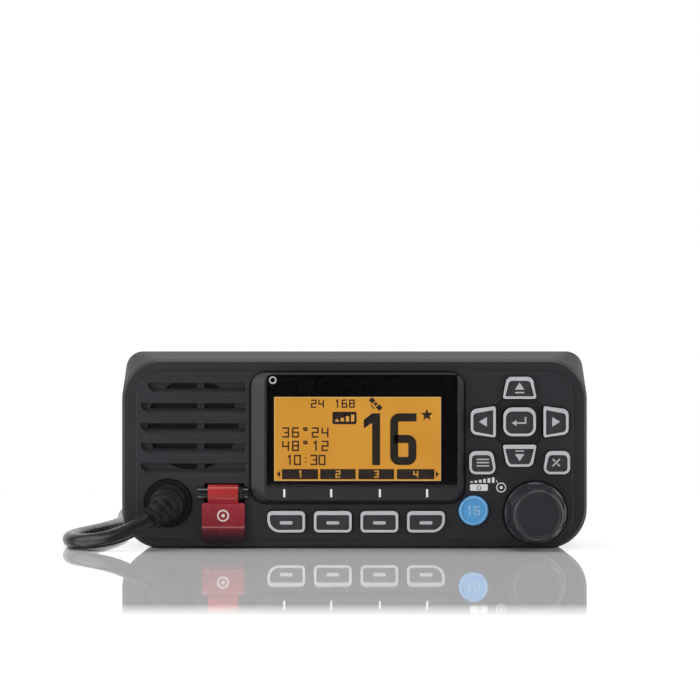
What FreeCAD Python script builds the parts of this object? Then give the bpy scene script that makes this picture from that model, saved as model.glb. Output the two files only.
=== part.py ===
import FreeCAD, Part
import math
import os
import re
import Sketcher

# A fixed-mount marine VHF radio with its hand microphone, in millimetres.
# X runs to the right of someone who faces the radio, Y runs to its back and Z runs up.
# The origin is in the middle of the underside. "Front" distances count from the origin
# towards the user, so a front distance of 52 is the plane Y = -52.

Vector = FreeCAD.Vector

sizes = {
    # front panel shell
    "panel_width": 156.5,
    "panel_front_top": 63.7,
    "panel_rear_top": 66.5,
    "panel_corner": 13.3,
    "panel_rear_corner": 5.8,
    "panel_wall": 2.2,
    "panel_skin": 2.4,
    "border_front": 51.4,
    "border_edge": 1.0,
    "flare_back": 38.0,
    "panel_back": 24.0,
    "plateau_rise": 0.6,
    "plateau_side": 4.85,
    "plateau_bottom": 3.3,
    "plateau_top_margin": 4.4,
    "plateau_corner": 8.0,
    "boss_radius": 2.9,
    "boss_side": 7.75,
    "boss_low": 7.0,
    "boss_high": 57.5,
    "post_radius": 2.0,
    # display
    "bezel_inset_left": 43.65,
    "bezel_inset_right": 41.45,
    "window_inset_left": 5.4,
    "window_inset_right": 2.5,
    "lcd_inset_left": 1.7,
    "lcd_inset_right": 5.1,
    "bezel_rise": 2.7,
    "bezel_bottom": 15.6,
    "bezel_top": 59.1,
    "bezel_slope_left": 4.4,
    "bezel_slope_right": 1.9,
    "bezel_slope_low": 0.9,
    "bezel_slope_high": 0.4,
    "bezel_low_corner": 5.4,
    "bezel_high_corner": 4.2,
    "bezel_face_corner": 3.2,
    "window_bottom": 21.0,
    "window_top": 58.2,
    "window_corner": 1.2,
    "window_thick": 1.2,
    "window_proud": 0.2,
    "lcd_bottom": 22.5,
    "lcd_top": 51.2,
    "lcd_thick": 2.0,
    "lcd_margin": 1.6,
    "diffuser_thick": 2.4,
    "holder_wall": 1.2,
    "holder_floor": 1.0,
    # keys
    "softkey_inset_left": 11.7,
    "softkey_inset_right": 12.81,
    "softkey_space": 2.98,
    "pad_side": 22.85,
    "round_key_side": 38.25,
    "key_rise": 1.3,
    "key_gap": 0.25,
    "key_rim": 0.85,
    "key_dish": 0.35,
    "key_crest": 0.5,
    "key_flange": 0.7,
    "key_flange_thick": 1.0,
    "key_flange_gap": 0.3,
    "softkey_z": 9.1,
    "softkey_height": 7.2,
    "softkey_corner": 1.6,
    "softkey_round": 4.2,
    "pad_z": 42.6,
    "enter_width": 10.9,
    "enter_height": 9.65,
    "enter_corner": 3.0,
    "enter_dish_radius": 9.9,
    "enter_dish_floor_radius": 9.0,
    "enter_dish_depth": 0.9,
    "arrow_reach": 7.7,
    "arrow_height": 7.4,
    "arrow_base": 11.4,
    "arrow_tip": 8.6,
    "arrow_corner": 1.5,
    "side_reach": 8.0,
    "side_width": 8.4,
    "side_base": 10.6,
    "side_tip": 8.2,
    "lower_key_spread": 12.3,
    "lower_key_drop": 13.7,
    "lower_key_width": 9.2,
    "lower_key_height": 7.8,
    "lower_key_slant": 1.3,
    "lower_key_corner": 2.2,
    "round_key_z": 12.8,
    "round_key_radius": 5.0,
    # volume knob and its encoder
    "knob_side": 17.55,
    "knob_z": 12.0,
    "knob_dish_radius": 10.9,
    "knob_dish_depth": 0.8,
    "knob_skirt_radius": 10.4,
    "knob_skirt_height": 2.4,
    "knob_height": 13.6,
    "knob_flat": 9.7,
    "knob_tip_flat": 8.5,
    "knob_tip_radius": 8.2,
    "knob_face_radius": 6.85,
    "knob_face_depth": 0.5,
    "knob_push": 0.6,
    "knob_float": 1.0,
    "shaft_radius": 3.0,
    "shaft_flat": 2.3,
    "shaft_gap": 0.06,
    "bushing_radius": 3.9,
    "bushing_length": 9.4,
    "nut_flats": 11.0,
    "nut_thick": 2.0,
    "encoder_side": 12.4,
    "encoder_deep": 6.4,
    "collar_radius": 4.6,
    "collar_thick": 1.8,
    # speaker
    "speaker_side": 23.85,
    "louvre_inset_left": 6.45,
    "louvre_inset_right": 41.65,
    "louvre_rib_start": 25.25,
    "louvre_rib_end": 27.75,
    "speaker_z": 41.8,
    "speaker_radius": 16.6,
    "speaker_rim": 1.6,
    "speaker_rim_deep": 2.2,
    "speaker_deep": 10.5,
    "magnet_radius": 9.0,
    "magnet_thick": 5.0,
    "cone_thick": 0.5,
    "screen_thick": 0.4,
    "louvre_radius": 15.4,
    "louvre_pitch": 6.77,
    "louvre_top": 55.7,
    "louvre_height": 4.3,
    "louvre_slot": 1.8,
    "louvre_inset": 2.4,
    "louvre_depth": 1.5,
    # flip cover over the alert key
    "cover_inset_left": 27.15,
    "cover_inset_right": 41.45,
    "barrel_inset_left": 2.0,
    "barrel_inset_right": 2.2,
    "pin_overhang_left": 1.6,
    "pin_overhang_right": 1.1,
    "alert_inset_left": 2.5,
    "alert_inset_right": 2.6,
    "cover_bottom": 1.9,
    "cover_top": 15.4,
    "cover_thick": 2.0,
    "cover_lift": 0.4,
    "cover_ridge": 0.5,
    "cover_ridge_wide": 0.5,
    "cover_lip": 5.2,
    "cover_lip_thin": 0.9,
    "cover_corner": 1.6,
    "hinge_z": 18.6,
    "barrel_radius": 2.9,
    "pin_radius": 2.0,
    "pin_gap": 0.06,
    "well_gap": 0.35,
    "well_deep": 5.4,
    "spring_wire": 0.3,
    "spring_space": 2.0,
    "alert_bottom": 4.6,
    "alert_top": 12.8,
    "alert_corner": 1.2,
    # cord boot
    "boot_side": 15.65,
    "boot_z": 15.3,
    "boot_radius": 6.6,
    "boot_tip_radius": 3.9,
    "boot_flange_radius": 7.9,
    "boot_socket_depth": 0.7,
    "boot_reach_left": 4.9,
    "boot_reach_front": 9.6,
    "boot_reach_down": 4.8,
    "boot_rib_step": 0.75,
    "clamp_length": 9.0,
    "clamp_height": 8.0,
    "clamp_deep": 5.0,
    # keypad and front board
    "post_gap": 0.6,
    "post_high_gap": 1.7,
    "post_low_inset": 2.2,
    "post_left_inset": 1.4,
    "post_side": 12.25,
    "post_low": 5.6,
    "post_left": 12.0,
    "post_middle": 21.3,
    "post_high": 54.5,
    "front_board_side": 8.85,
    "front_board_overlap": 2.6,
    "board_leg_side": 24.25,
    "membrane_back": 45.2,
    "membrane_thick": 1.0,
    "dome_radius": 1.9,
    "dome_rise": 0.8,
    "board_thick": 1.6,
    "front_board_bottom": 4.6,
    "front_board_top": 57.6,
    "front_board_leg_top": 17.0,
    # rear chassis
    "screw_space": 1.3,
    "seal_thick": 0.8,
    "seal_width": 1.3,
    "seal_inset": 0.45,
    "flange_inset": 1.0,
    "flange_thick": 3.0,
    "chassis_bottom": 3.0,
    "chassis_top": 60.5,
    "chassis_corner": 4.0,
    "chassis_wall": 2.4,
    "rear_wall": 4.0,
    "wall_gap": 0.05,
    "rear_wall_back": 47.0,
    "fin_depth": 8.0,
    "fin_thick": 2.0,
    "fin_pitch": 8.2,
    "fin_rise": 2.4,
    "screw_radius": 1.5,
    "screw_gap": 0.2,
    "screw_head_radius": 2.7,
    "screw_head_thick": 2.0,
    "screw_grip": 9.0,
    "bracket_y": 4.0,
    "bracket_z": 33.0,
    "insert_corner": 4.6,
    "insert_bore": 2.1,
    "boss_radius_side": 7.0,
    "boss_end": 2.0,
    "insert_length": 9.0,
    "insert_proud": 0.6,
    # inside the chassis
    "main_board_space": 6.1,
    "standoff_inset": 6.0,
    "can_inset": 14,
    "amp_inset": 15,
    "main_board_front": 17.0,
    "main_board_back": 38.0,
    "main_board_z": 12.0,
    "standoff_radius": 3.0,
    "standoff_front": 12.0,
    "standoff_back": 32.0,
    "board_screw_head": 2.6,
    "can_width": 40.0,
    "can_length": 28.0,
    "can_height": 7.0,
    "can_wall": 0.6,
    "can_y": 8.0,
    "amp_width": 46.0,
    "amp_height": 11.0,
    "amp_deep": 9.0,
    # rear connectors
    "antenna_side": 22.5,
    "power_side": 38.5,
    "accessory_side": 18.5,
    "gps_side": 50.5,
    "antenna_z": 48.0,
    "antenna_radius": 7.9,
    "antenna_length": 14.0,
    "antenna_bore": 6.3,
    "antenna_flange": 12.0,
    "antenna_flange_thick": 2.0,
    "antenna_pin_bore": 1.9,
    "gland_z": 33.0,
    "gland_radius": 7.0,
    "gland_tip_radius": 4.6,
    "gland_length": 11.0,
    "power_bore": 2.6,
    "accessory_bore": 1.9,
    "accessory_scale": 0.78,
    "gps_z": 43.0,
    "gps_radius": 5.5,
    "gps_length": 9.0,
    "gps_bore": 3.6,
    "ground_x": 6.0,
    "ground_z": 44.0,
    "ground_radius": 2.0,
    "ground_head": 4.2,
    "ground_head_thick": 2.4,
    # microphone cord
    "cord_radius": 2.6,
    "curl_radius": 9.0,
    # hand microphone
    "mic_length": 92.0,
    "mic_top_width": 58.0,
    "mic_low_width": 46.0,
    "mic_rear_deep": 15.0,
    "mic_front_deep": 12.0,
    "mic_wall": 2.0,
    "mic_corner": 14.0,
    "mic_edge": 3.0,
    "mic_x": -12.0,
    "mic_y": 112.0,
    "ptt_length": 34.0,
    "ptt_height": 12.0,
    "ptt_proud": 2.2,
    "ptt_x": -14.0,
    "mic_key_width": 9.0,
    "mic_key_height": 6.0,
    "mic_key_spread": 8.0,
    "mic_key_x": -34.0,
    "mic_key_rise": 1.0,
    "stud_radius": 6.0,
    "stud_neck": 3.6,
    "stud_rise": 6.4,
    "stud_head": 2.4,
    "stud_x": -30.0,
    "element_radius": 4.8,
    "element_thick": 4.0,
    "element_x": 12.0,
    "mic_screw_radius": 1.1,
    "mic_screw_head": 2.1,
    "mic_boot_radius": 5.6,
    "mic_boot_tip": 3.7,
    "mic_boot_length": 19.0,
    "mic_boot_drop": -1.0,
}

# places that follow from the sizes, so that the layout keeps its margins
places = {
    "bezel_left": "bezel_inset_left - panel_width / 2",
    "bezel_right": "panel_width / 2 - bezel_inset_right",
    "window_left": "bezel_left + window_inset_left",
    "window_right": "bezel_right - window_inset_right",
    "lcd_left": "window_left + lcd_inset_left",
    "lcd_right": "window_right - lcd_inset_right",
    "softkey_first_x": "bezel_left + softkey_inset_left",
    "softkey_pitch": "(bezel_right - softkey_inset_right - softkey_first_x) / 3",
    "softkey_width": "softkey_pitch - softkey_space",
    "pad_x": "panel_width / 2 - pad_side",
    "round_key_x": "panel_width / 2 - round_key_side",
    "knob_x": "panel_width / 2 - knob_side",
    "speaker_x": "speaker_side - panel_width / 2",
    "louvre_left": "louvre_inset_left - panel_width / 2",
    "louvre_right": "louvre_inset_right - panel_width / 2",
    "louvre_rib_left": "louvre_rib_start - panel_width / 2",
    "louvre_rib_right": "louvre_rib_end - panel_width / 2",
    "cover_left": "cover_inset_left - panel_width / 2",
    "cover_right": "cover_inset_right - panel_width / 2",
    "boot_x": "boot_side - panel_width / 2",
    "front_board_leg": "board_leg_side - panel_width / 2",
    "barrel_left": "cover_left + barrel_inset_left",
    "pin_left": "cover_left - pin_overhang_left",
    "alert_left": "cover_left + alert_inset_left",
    "barrel_right": "cover_right - barrel_inset_right",
    "pin_right": "cover_right + pin_overhang_right",
    "alert_right": "cover_right - alert_inset_right",
    "front_board_right": "panel_width / 2 - front_board_side",
    "front_board_left": "bezel_left + front_board_overlap",
    "chassis_half_width": "panel_width / 2 - boss_side - screw_head_radius - screw_space",
    "main_board_half_width": "chassis_half_width - chassis_wall - main_board_space",
    "standoff_x": "main_board_half_width - standoff_inset",
    "can_x": "can_inset + can_width / 2 - main_board_half_width",
    "amp_x": "main_board_half_width - amp_inset - amp_width / 2",
    "antenna_x": "antenna_side - chassis_half_width",
    "gps_x": "gps_side - chassis_half_width",
    "accessory_x": "chassis_half_width - accessory_side",
    "power_x": "chassis_half_width - power_side",
}

document = FreeCAD.newDocument("marine_radio")
sheet = document.addObject("Spreadsheet::Sheet", "sizes")
for row, (alias, size) in enumerate(sizes.items(), start=1):
    sheet.set(f"A{row}", alias.replace("_", " "))
    sheet.set(f"B{row}", str(size))
    sheet.setAlias(f"B{row}", alias)
document.recompute()


def linked(expression):
    """Point each size's or place's name in an expression at its sheet."""
    def point(match):
        word = match.group()
        for page, names in (("sizes", sizes), ("places", places)):
            if word in names:
                return f"{page}.{word}"
        return word
    return re.sub(r"[a-z][a-z_]*", point, str(expression))


placeSheet = document.addObject("Spreadsheet::Sheet", "places")
for row, (alias, rule) in enumerate(places.items(), start=1):
    placeSheet.set(f"A{row}", alias.replace("_", " "))
    placeSheet.set(f"B{row}", "=" + linked(rule).replace("places.", ""))
    placeSheet.setAlias(f"B{row}", alias)
document.recompute()

gauge = document.addObject("App::FeaturePython", "gauge")
gauge.addProperty("App::PropertyFloat", "reading")

pieces = []
yAxis = FreeCAD.Rotation(Vector(1, 0, 0), 90)
xAxis = FreeCAD.Rotation(Vector(0, 1, 0), 90)


def number(expression):
    """What an expression of sizes comes to now."""
    gauge.setExpression("reading", linked(expression))
    gauge.recompute()
    return gauge.reading


def bind(thing, **expressions):
    """Bind properties of an object, such as Length or x, y and z, to expressions of sizes."""
    paths = {"x": "Placement.Base.x", "y": "Placement.Base.y", "z": "Placement.Base.z"}
    for name, expression in expressions.items():
        thing.setExpression(paths.get(name, name), linked(expression))
    return thing


def piece(node, thing):
    """Name a finished object as a sub-part."""
    thing.Label = node
    pieces.append(thing)
    return thing


def block(name, left, right, front, back, low, high):
    """A box between two X, two front distances (front > back) and two Z."""
    box = document.addObject("Part::Box", name)
    bind(box, Length=f"({right}) - ({left})", Width=f"({front}) - ({back})",
         Height=f"({high}) - ({low})", x=left, y=f"-({front})", z=low)
    return box


def rod(name, axis, radius, start, length, across, up):
    """A cylinder along X, Y or Z. On Y it starts at a front distance and runs to the front."""
    cylinder = document.addObject("Part::Cylinder", name)
    bind(cylinder, Radius=radius, Height=length)
    if axis == "Y":
        cylinder.Placement = FreeCAD.Placement(Vector(), yAxis)
        bind(cylinder, x=across, y=f"-({start})", z=up)
    elif axis == "X":
        cylinder.Placement = FreeCAD.Placement(Vector(), xAxis)
        bind(cylinder, x=start, y=f"-({across})", z=up)
    else:
        bind(cylinder, x=across, y=f"-({up})", z=start)
    return cylinder


def cone(name, backRadius, frontRadius, start, length, across, up):
    """A cone along Y that starts at a front distance and runs to the front."""
    solid = document.addObject("Part::Cone", name)
    solid.Placement = FreeCAD.Placement(Vector(), yAxis)
    bind(solid, Radius1=backRadius, Radius2=frontRadius, Height=length,
         x=across, y=f"-({start})", z=up)
    return solid


def fuse(name, things):
    joined = document.addObject("Part::MultiFuse", name)
    joined.Shapes = things
    return joined


def cut(name, base, tools):
    """A Part::Cut of one or several tools from a base."""
    result = document.addObject("Part::Cut", name)
    result.Base = base
    result.Tool = tools[0] if len(tools) == 1 else fuse(name + "_tools", tools)
    return result


def common(name, first, second):
    result = document.addObject("Part::Common", name)
    result.Base = first
    result.Tool = second
    return result


def originPlane(body, role):
    return [plane for plane in body.Origin.OriginFeatures if plane.Role == role][0]


def sketchOn(body, role, offset):
    """An empty sketch, attached at an offset from one of its body's origin planes."""
    sketch = body.newObject("Sketcher::SketchObject", body.Name + "_sketch")
    sketch.AttachmentSupport = [(originPlane(body, role), "")]
    sketch.MapMode = "FlatFace"
    sketch.setExpression("AttachmentOffset.Base.z", linked(offset))
    return sketch


def dimension(sketch, kind, geometry, expression, *vertex):
    """A sketch dimension that is bound to an expression, with its value already right."""
    now = number(expression)
    if kind == "Radius":
        constraint = Sketcher.Constraint(kind, geometry, now)
    else:
        constraint = Sketcher.Constraint(kind, -1, 1, geometry, vertex[0], now)
    index = sketch.addConstraint(constraint)
    sketch.setExpression(f"Constraints[{index}]", linked(expression))


def polygon(sketch, corners):
    """A closed outline through corners, each pair of coordinates bound to expressions."""
    count = len(corners)
    points = [Vector(number(across), number(up), 0) for across, up in corners]
    for i in range(count):
        sketch.addGeometry(Part.LineSegment(points[i], points[(i + 1) % count]))
    for i in range(count):
        sketch.addConstraint(Sketcher.Constraint("Coincident", i, 2, (i + 1) % count, 1))
    for i, (across, up) in enumerate(corners):
        dimension(sketch, "DistanceX", i, across, 1)
        dimension(sketch, "DistanceY", i, up, 1)


def roundedRectangle(sketch, left, right, low, high, radius, upper=None):
    """Four arcs and four lines, each end bound to its place; the upper corners may have their own radius."""
    upper = upper or radius
    middles = [(f"{right} - ({radius})", f"{low} + ({radius})"), (f"{right} - ({upper})", f"{high} - ({upper})"),
               (f"{left} + ({upper})", f"{high} - ({upper})"), (f"{left} + ({radius})", f"{low} + ({radius})")]
    bends = [number(radius), number(upper), number(upper), number(radius)]
    for i, (across, up) in enumerate(middles):
        circle = Part.Circle(Vector(number(across), number(up), 0), Vector(0, 0, 1), bends[i])
        turn = math.radians(-90 + 90 * i)
        sketch.addGeometry(Part.ArcOfCircle(circle, turn, turn + math.pi / 2))
    for i in range(4):
        sketch.addGeometry(Part.LineSegment(sketch.Geometry[i].EndPoint, sketch.Geometry[(i + 1) % 4].StartPoint))
    for i in range(4):
        sketch.addConstraint(Sketcher.Constraint("Tangent", i, 2, 4 + i, 1))
        sketch.addConstraint(Sketcher.Constraint("Tangent", 4 + i, 2, (i + 1) % 4, 1))
    for i, (across, up) in enumerate(middles):
        dimension(sketch, "DistanceX", i, across, 3)
        dimension(sketch, "DistanceY", i, up, 3)
    dimension(sketch, "Radius", 0, radius)
    for i in (4, 6):
        sketch.addConstraint(Sketcher.Constraint("Vertical", i))
    sketch.addConstraint(Sketcher.Constraint("Horizontal", 5))


def upright(feature, sketch, corner):
    """Names of a feature's straight edges that rise out of one corner of its sketch."""
    normal = sketch.Placement.Rotation.multVec(Vector(0, 0, 1))
    place = sketch.Placement.multVec(sketch.Geometry[corner].StartPoint)
    names = []
    for step, edge in enumerate(feature.Shape.Edges, start=1):
        if edge.Curve.TypeId != "Part::GeomLine" or len(edge.Vertexes) != 2:
            continue
        if abs(edge.tangentAt(edge.FirstParameter).dot(normal)) < 0.999:
            continue
        offset = edge.Vertexes[0].Point - place
        if (offset - normal * offset.dot(normal)).Length < 0.01:
            names.append(f"Edge{step}")
    return names


def prism(name, role, corners, start, length, radii=None):
    """A body padded from an outline, with its upright corner edges rounded."""
    body = document.addObject("PartDesign::Body", name)
    sketch = sketchOn(body, role, start)
    polygon(sketch, corners)
    pad = body.newObject("PartDesign::Pad", name + "_pad")
    pad.Profile = sketch
    bind(pad, Length=length)
    document.recompute()
    feature = pad
    groups = {}
    for corner, radius in enumerate(radii or []):
        if radius:
            groups.setdefault(radius, []).append(corner)
    for radius, chosen in groups.items():
        edges = [edge for corner in chosen for edge in upright(feature, sketch, corner)]
        fillet = body.newObject("PartDesign::Fillet", name + "_round")
        fillet.Base = (feature, edges)
        bind(fillet, Radius=radius)
        document.recompute()
        feature = fillet
    return body


def plate(name, corners, back, thick, radii=None):
    """A prism that faces the user, from a front distance forwards."""
    return prism(name, "XZ_Plane", corners, back, thick, radii)


def grown(corners, amount):
    """The same outline with each corner moved out from the outline's middle by an amount."""
    return [(f"({x}) {'+' if side > 0 else '-'} ({amount})", f"({z}) {'+' if rise > 0 else '-'} ({amount})",
             side, rise) for x, z, side, rise in corners]


def bare(corners):
    return [(x, z) for x, z, side, rise in corners]


def rectangle(left, right, low, high):
    """Corners, anticlockwise from the lower left, each with its outward signs."""
    return [(left, low, -1, -1), (right, low, 1, -1), (right, high, 1, 1), (left, high, -1, 1)]


def turned(name, profile, across, up):
    """A body of revolution about a line along Y, from (radius, front distance) points."""
    body = document.addObject("PartDesign::Body", name)
    sketch = sketchOn(body, "XY_Plane", "0")
    polygon(sketch, [(radius, f"-({front})") for radius, front in profile])
    spin = body.newObject("PartDesign::Revolution", name + "_spin")
    spin.Profile = sketch
    spin.ReferenceAxis = (sketch, ["V_Axis"])
    spin.Angle = 360.0
    bind(body, x=across, z=up)
    return body


def loftedRing(body, kind, name, first, second):
    """A ruled loft between two rounded rectangles, each (front, left, right, low, high, radius or radii)."""
    outlines = []
    for front, left, right, low, high, *radii in (first, second):
        sketch = sketchOn(body, "XZ_Plane", front)
        roundedRectangle(sketch, left, right, low, high, *radii)
        outlines.append(sketch)
    loft = body.newObject(kind, name)
    loft.Profile = outlines[0]
    loft.Sections = [outlines[1]]
    loft.Ruled = True
    document.recompute()
    return loft, outlines


# ---------------------------------------------------------------- outlines shared by several pieces
halfWidth = "panel_width / 2"
innerFront = "(border_front + plateau_rise - panel_skin)"
plateauFront = "(border_front + plateau_rise)"
bezelFront = f"({plateauFront} + bezel_rise)"
keyFront = f"({plateauFront} + key_rise)"
keyFlangeFront = f"({innerFront} - key_flange_gap)"
keyFlangeBack = f"({keyFlangeFront} - key_flange_thick)"
boardFront = "membrane_back"
boardBack = "(membrane_back - board_thick)"


def softkeyOutline(step):
    middle = f"(softkey_first_x + {step} * softkey_pitch)"
    corners = rectangle(f"{middle} - softkey_width / 2", f"{middle} + softkey_width / 2",
                        "softkey_z - softkey_height / 2", "softkey_z + softkey_height / 2")
    radii = ["softkey_corner"] * 4
    if step == 0:
        radii[0] = "softkey_round"
    if step == 3:
        radii[1] = "softkey_round"
    return corners, radii


def arrowOutline(side):
    """Above (side 1) or below (side -1) the enter key: a trapezoid, wider beside the key."""
    near = f"pad_z + ({side}) * arrow_reach"
    far = f"pad_z + ({side}) * (arrow_reach + arrow_height)"
    base = [("pad_x - arrow_base / 2", near, -1, -side), ("pad_x + arrow_base / 2", near, 1, -side)]
    tip = [("pad_x + arrow_tip / 2", far, 1, side), ("pad_x - arrow_tip / 2", far, -1, side)]
    return base + tip, ["arrow_corner / 2", "arrow_corner / 2", "arrow_corner * 1.4", "arrow_corner * 1.4"]


def sideOutline(side):
    """Left (side -1) or right (side 1) of the enter key, taller beside the key."""
    near = f"pad_x + ({side}) * side_reach"
    far = f"pad_x + ({side}) * (side_reach + side_width)"
    corners = [(near, "pad_z - side_base / 2", -side, -1), (far, "pad_z - side_tip / 2", side, -1),
               (far, "pad_z + side_tip / 2", side, 1), (near, "pad_z + side_base / 2", -side, 1)]
    return corners, ["arrow_corner / 2", "arrow_corner * 1.4", "arrow_corner * 1.4", "arrow_corner / 2"]


def lowerOutline(side):
    """The two keys under the pad, with the flank beside the pad leaning."""
    middle = f"pad_x + ({side}) * lower_key_spread"
    low = "pad_z - lower_key_drop - lower_key_height / 2"
    high = "pad_z - lower_key_drop + lower_key_height / 2"
    outer = f"{middle} + ({side}) * lower_key_width / 2"
    inner = f"{middle} - ({side}) * lower_key_width / 2"
    lean = f"{inner} + ({side}) * lower_key_slant"
    corners = [(outer, low, side, -1), (inner, low, -side, -1), (lean, high, -side, 1), (outer, high, side, 1)]
    return corners, ["lower_key_corner"] * 4


keyOutlines = {f"softkey_{n + 1}": softkeyOutline(n) for n in range(4)}
keyOutlines["channel_up_key"] = arrowOutline(1)
keyOutlines["channel_down_key"] = arrowOutline(-1)
keyOutlines["left_key"] = sideOutline(-1)
keyOutlines["right_key"] = sideOutline(1)
keyOutlines["menu_key"] = lowerOutline(-1)
keyOutlines["clear_key"] = lowerOutline(1)
keyOutlines["enter_key"] = (rectangle("pad_x - enter_width / 2", "pad_x + enter_width / 2",
                                      "pad_z - enter_height / 2", "pad_z + enter_height / 2"),
                            ["enter_corner"] * 4)
keyOutlines["alert_key"] = (rectangle("alert_left", "alert_right", "alert_bottom", "alert_top"),
                            ["alert_corner"] * 4)


def bezelOutline(front, inset, *radii):
    """The display's frame at its foot (inset 0) or at its face (inset 1)."""
    return (front, f"bezel_left + {inset} * bezel_slope_left", f"bezel_right - {inset} * bezel_slope_right",
            f"bezel_bottom + {inset} * bezel_slope_low", f"bezel_top - {inset} * bezel_slope_high", *radii)


screwPlaces = [(f"({halfWidth} - boss_side) * ({side})", up)
               for side in (-1, 1) for up in ("boss_low", "boss_high")]


# ---------------------------------------------------------------- front panel
def panelShell():
    body = document.addObject("PartDesign::Body", "panel_shell")
    edge = "border_edge"
    side = f"({halfWidth} - {edge})"
    face = ("border_front", f"-{side}", side, edge, f"panel_front_top - {edge}", f"panel_corner - {edge}")
    outer = (f"border_front - {edge}", f"-{halfWidth}", halfWidth, "0", "panel_front_top", "panel_corner")
    rear = ("flare_back", f"-{halfWidth}", halfWidth, "0", "panel_rear_top", "panel_corner", "panel_rear_corner")
    loftedRing(body, "PartDesign::AdditiveLoft", "panel_edge", face, outer)
    loft, outlines = loftedRing(body, "PartDesign::AdditiveLoft", "panel_flare", outer, rear)
    rim = body.newObject("PartDesign::Pad", "panel_rim")
    rim.Profile = outlines[1]
    rim.Reversed = True
    bind(rim, Length="flare_back - panel_back")
    document.recompute()
    wall = "panel_wall"
    slope = "(panel_rear_top - panel_front_top) / (border_front - flare_back)"
    topThere = f"panel_front_top + (border_front - {innerFront}) * {slope} - {wall} - {edge}"
    side = f"({halfWidth} - {wall})"
    inner = (innerFront, f"-{side} + {edge} / 2", f"{side} - {edge} / 2", f"{wall} + {edge} / 2", topThere,
             f"panel_corner - {wall}")
    innerRear = ("flare_back", f"-{side}", side, wall, f"panel_rear_top - {wall}", f"panel_corner - {wall}",
                 f"panel_rear_corner - {wall}")
    hollow, outlines = loftedRing(body, "PartDesign::SubtractiveLoft", "panel_hollow", inner, innerRear)
    opening = body.newObject("PartDesign::Pocket", "panel_opening")
    opening.Profile = outlines[1]
    bind(opening, Length="flare_back - panel_back")
    document.recompute()
    return body


def speakerOpenings():
    """Slanted slots, and the openings through the face inside the speaker's circle."""
    tools = []
    openings = []
    for step in range(5):
        top = f"(louvre_top - {step} * louvre_pitch)"
        low = f"({top} - louvre_height)"
        left = "(louvre_left + louvre_inset)" if step == 0 else "louvre_left"
        corners = [(f"{left} + 3.4", f"{low} + 0.3"), ("louvre_right", low), ("louvre_right", top), (left, top),
                   (left, f"{top} - 1.6")]
        outline = plate(f"slot_outline_{step}", corners, f"{plateauFront} - louvre_depth - 1",
                        "louvre_depth + 2", ["0.9", "0.5", "0.3", "0.5", "1.2"])
        ramp = prism(f"slot_ramp_{step}", "YZ_Plane",
                     [(f"-{plateauFront} - 1", f"{top} + 0.5"), (f"-{plateauFront} - 1", f"{low} - 0.2"),
                      (f"-{plateauFront}", f"{low} - 0.2"),
                      (f"-{plateauFront} + louvre_depth", f"{top} - louvre_slot"),
                      (f"-{plateauFront} + louvre_depth", f"{top} + 0.5")],
                     "louvre_left - 1", "louvre_right - louvre_left + 2")
        tools.append(common(f"slot_{step}", outline, ramp))
        openings.append(block(f"gap_left_{step}", "louvre_left + 1.2", "louvre_rib_left", f"{plateauFront} + 1",
                              f"{innerFront} - 1", f"{top} - louvre_slot", f"{top} - 0.15"))
        openings.append(block(f"gap_right_{step}", "louvre_rib_right", "louvre_right - 1.2",
                              f"{plateauFront} + 1", f"{innerFront} - 1", f"{top} - louvre_slot",
                              f"{top} - 0.15"))
    ring = rod("speaker_ring", "Y", "louvre_radius", f"{innerFront} - 2", "panel_skin + 4", "speaker_x",
               "speaker_z")
    return tools + [common("speaker_gaps", fuse("gaps", openings), ring)]


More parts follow.
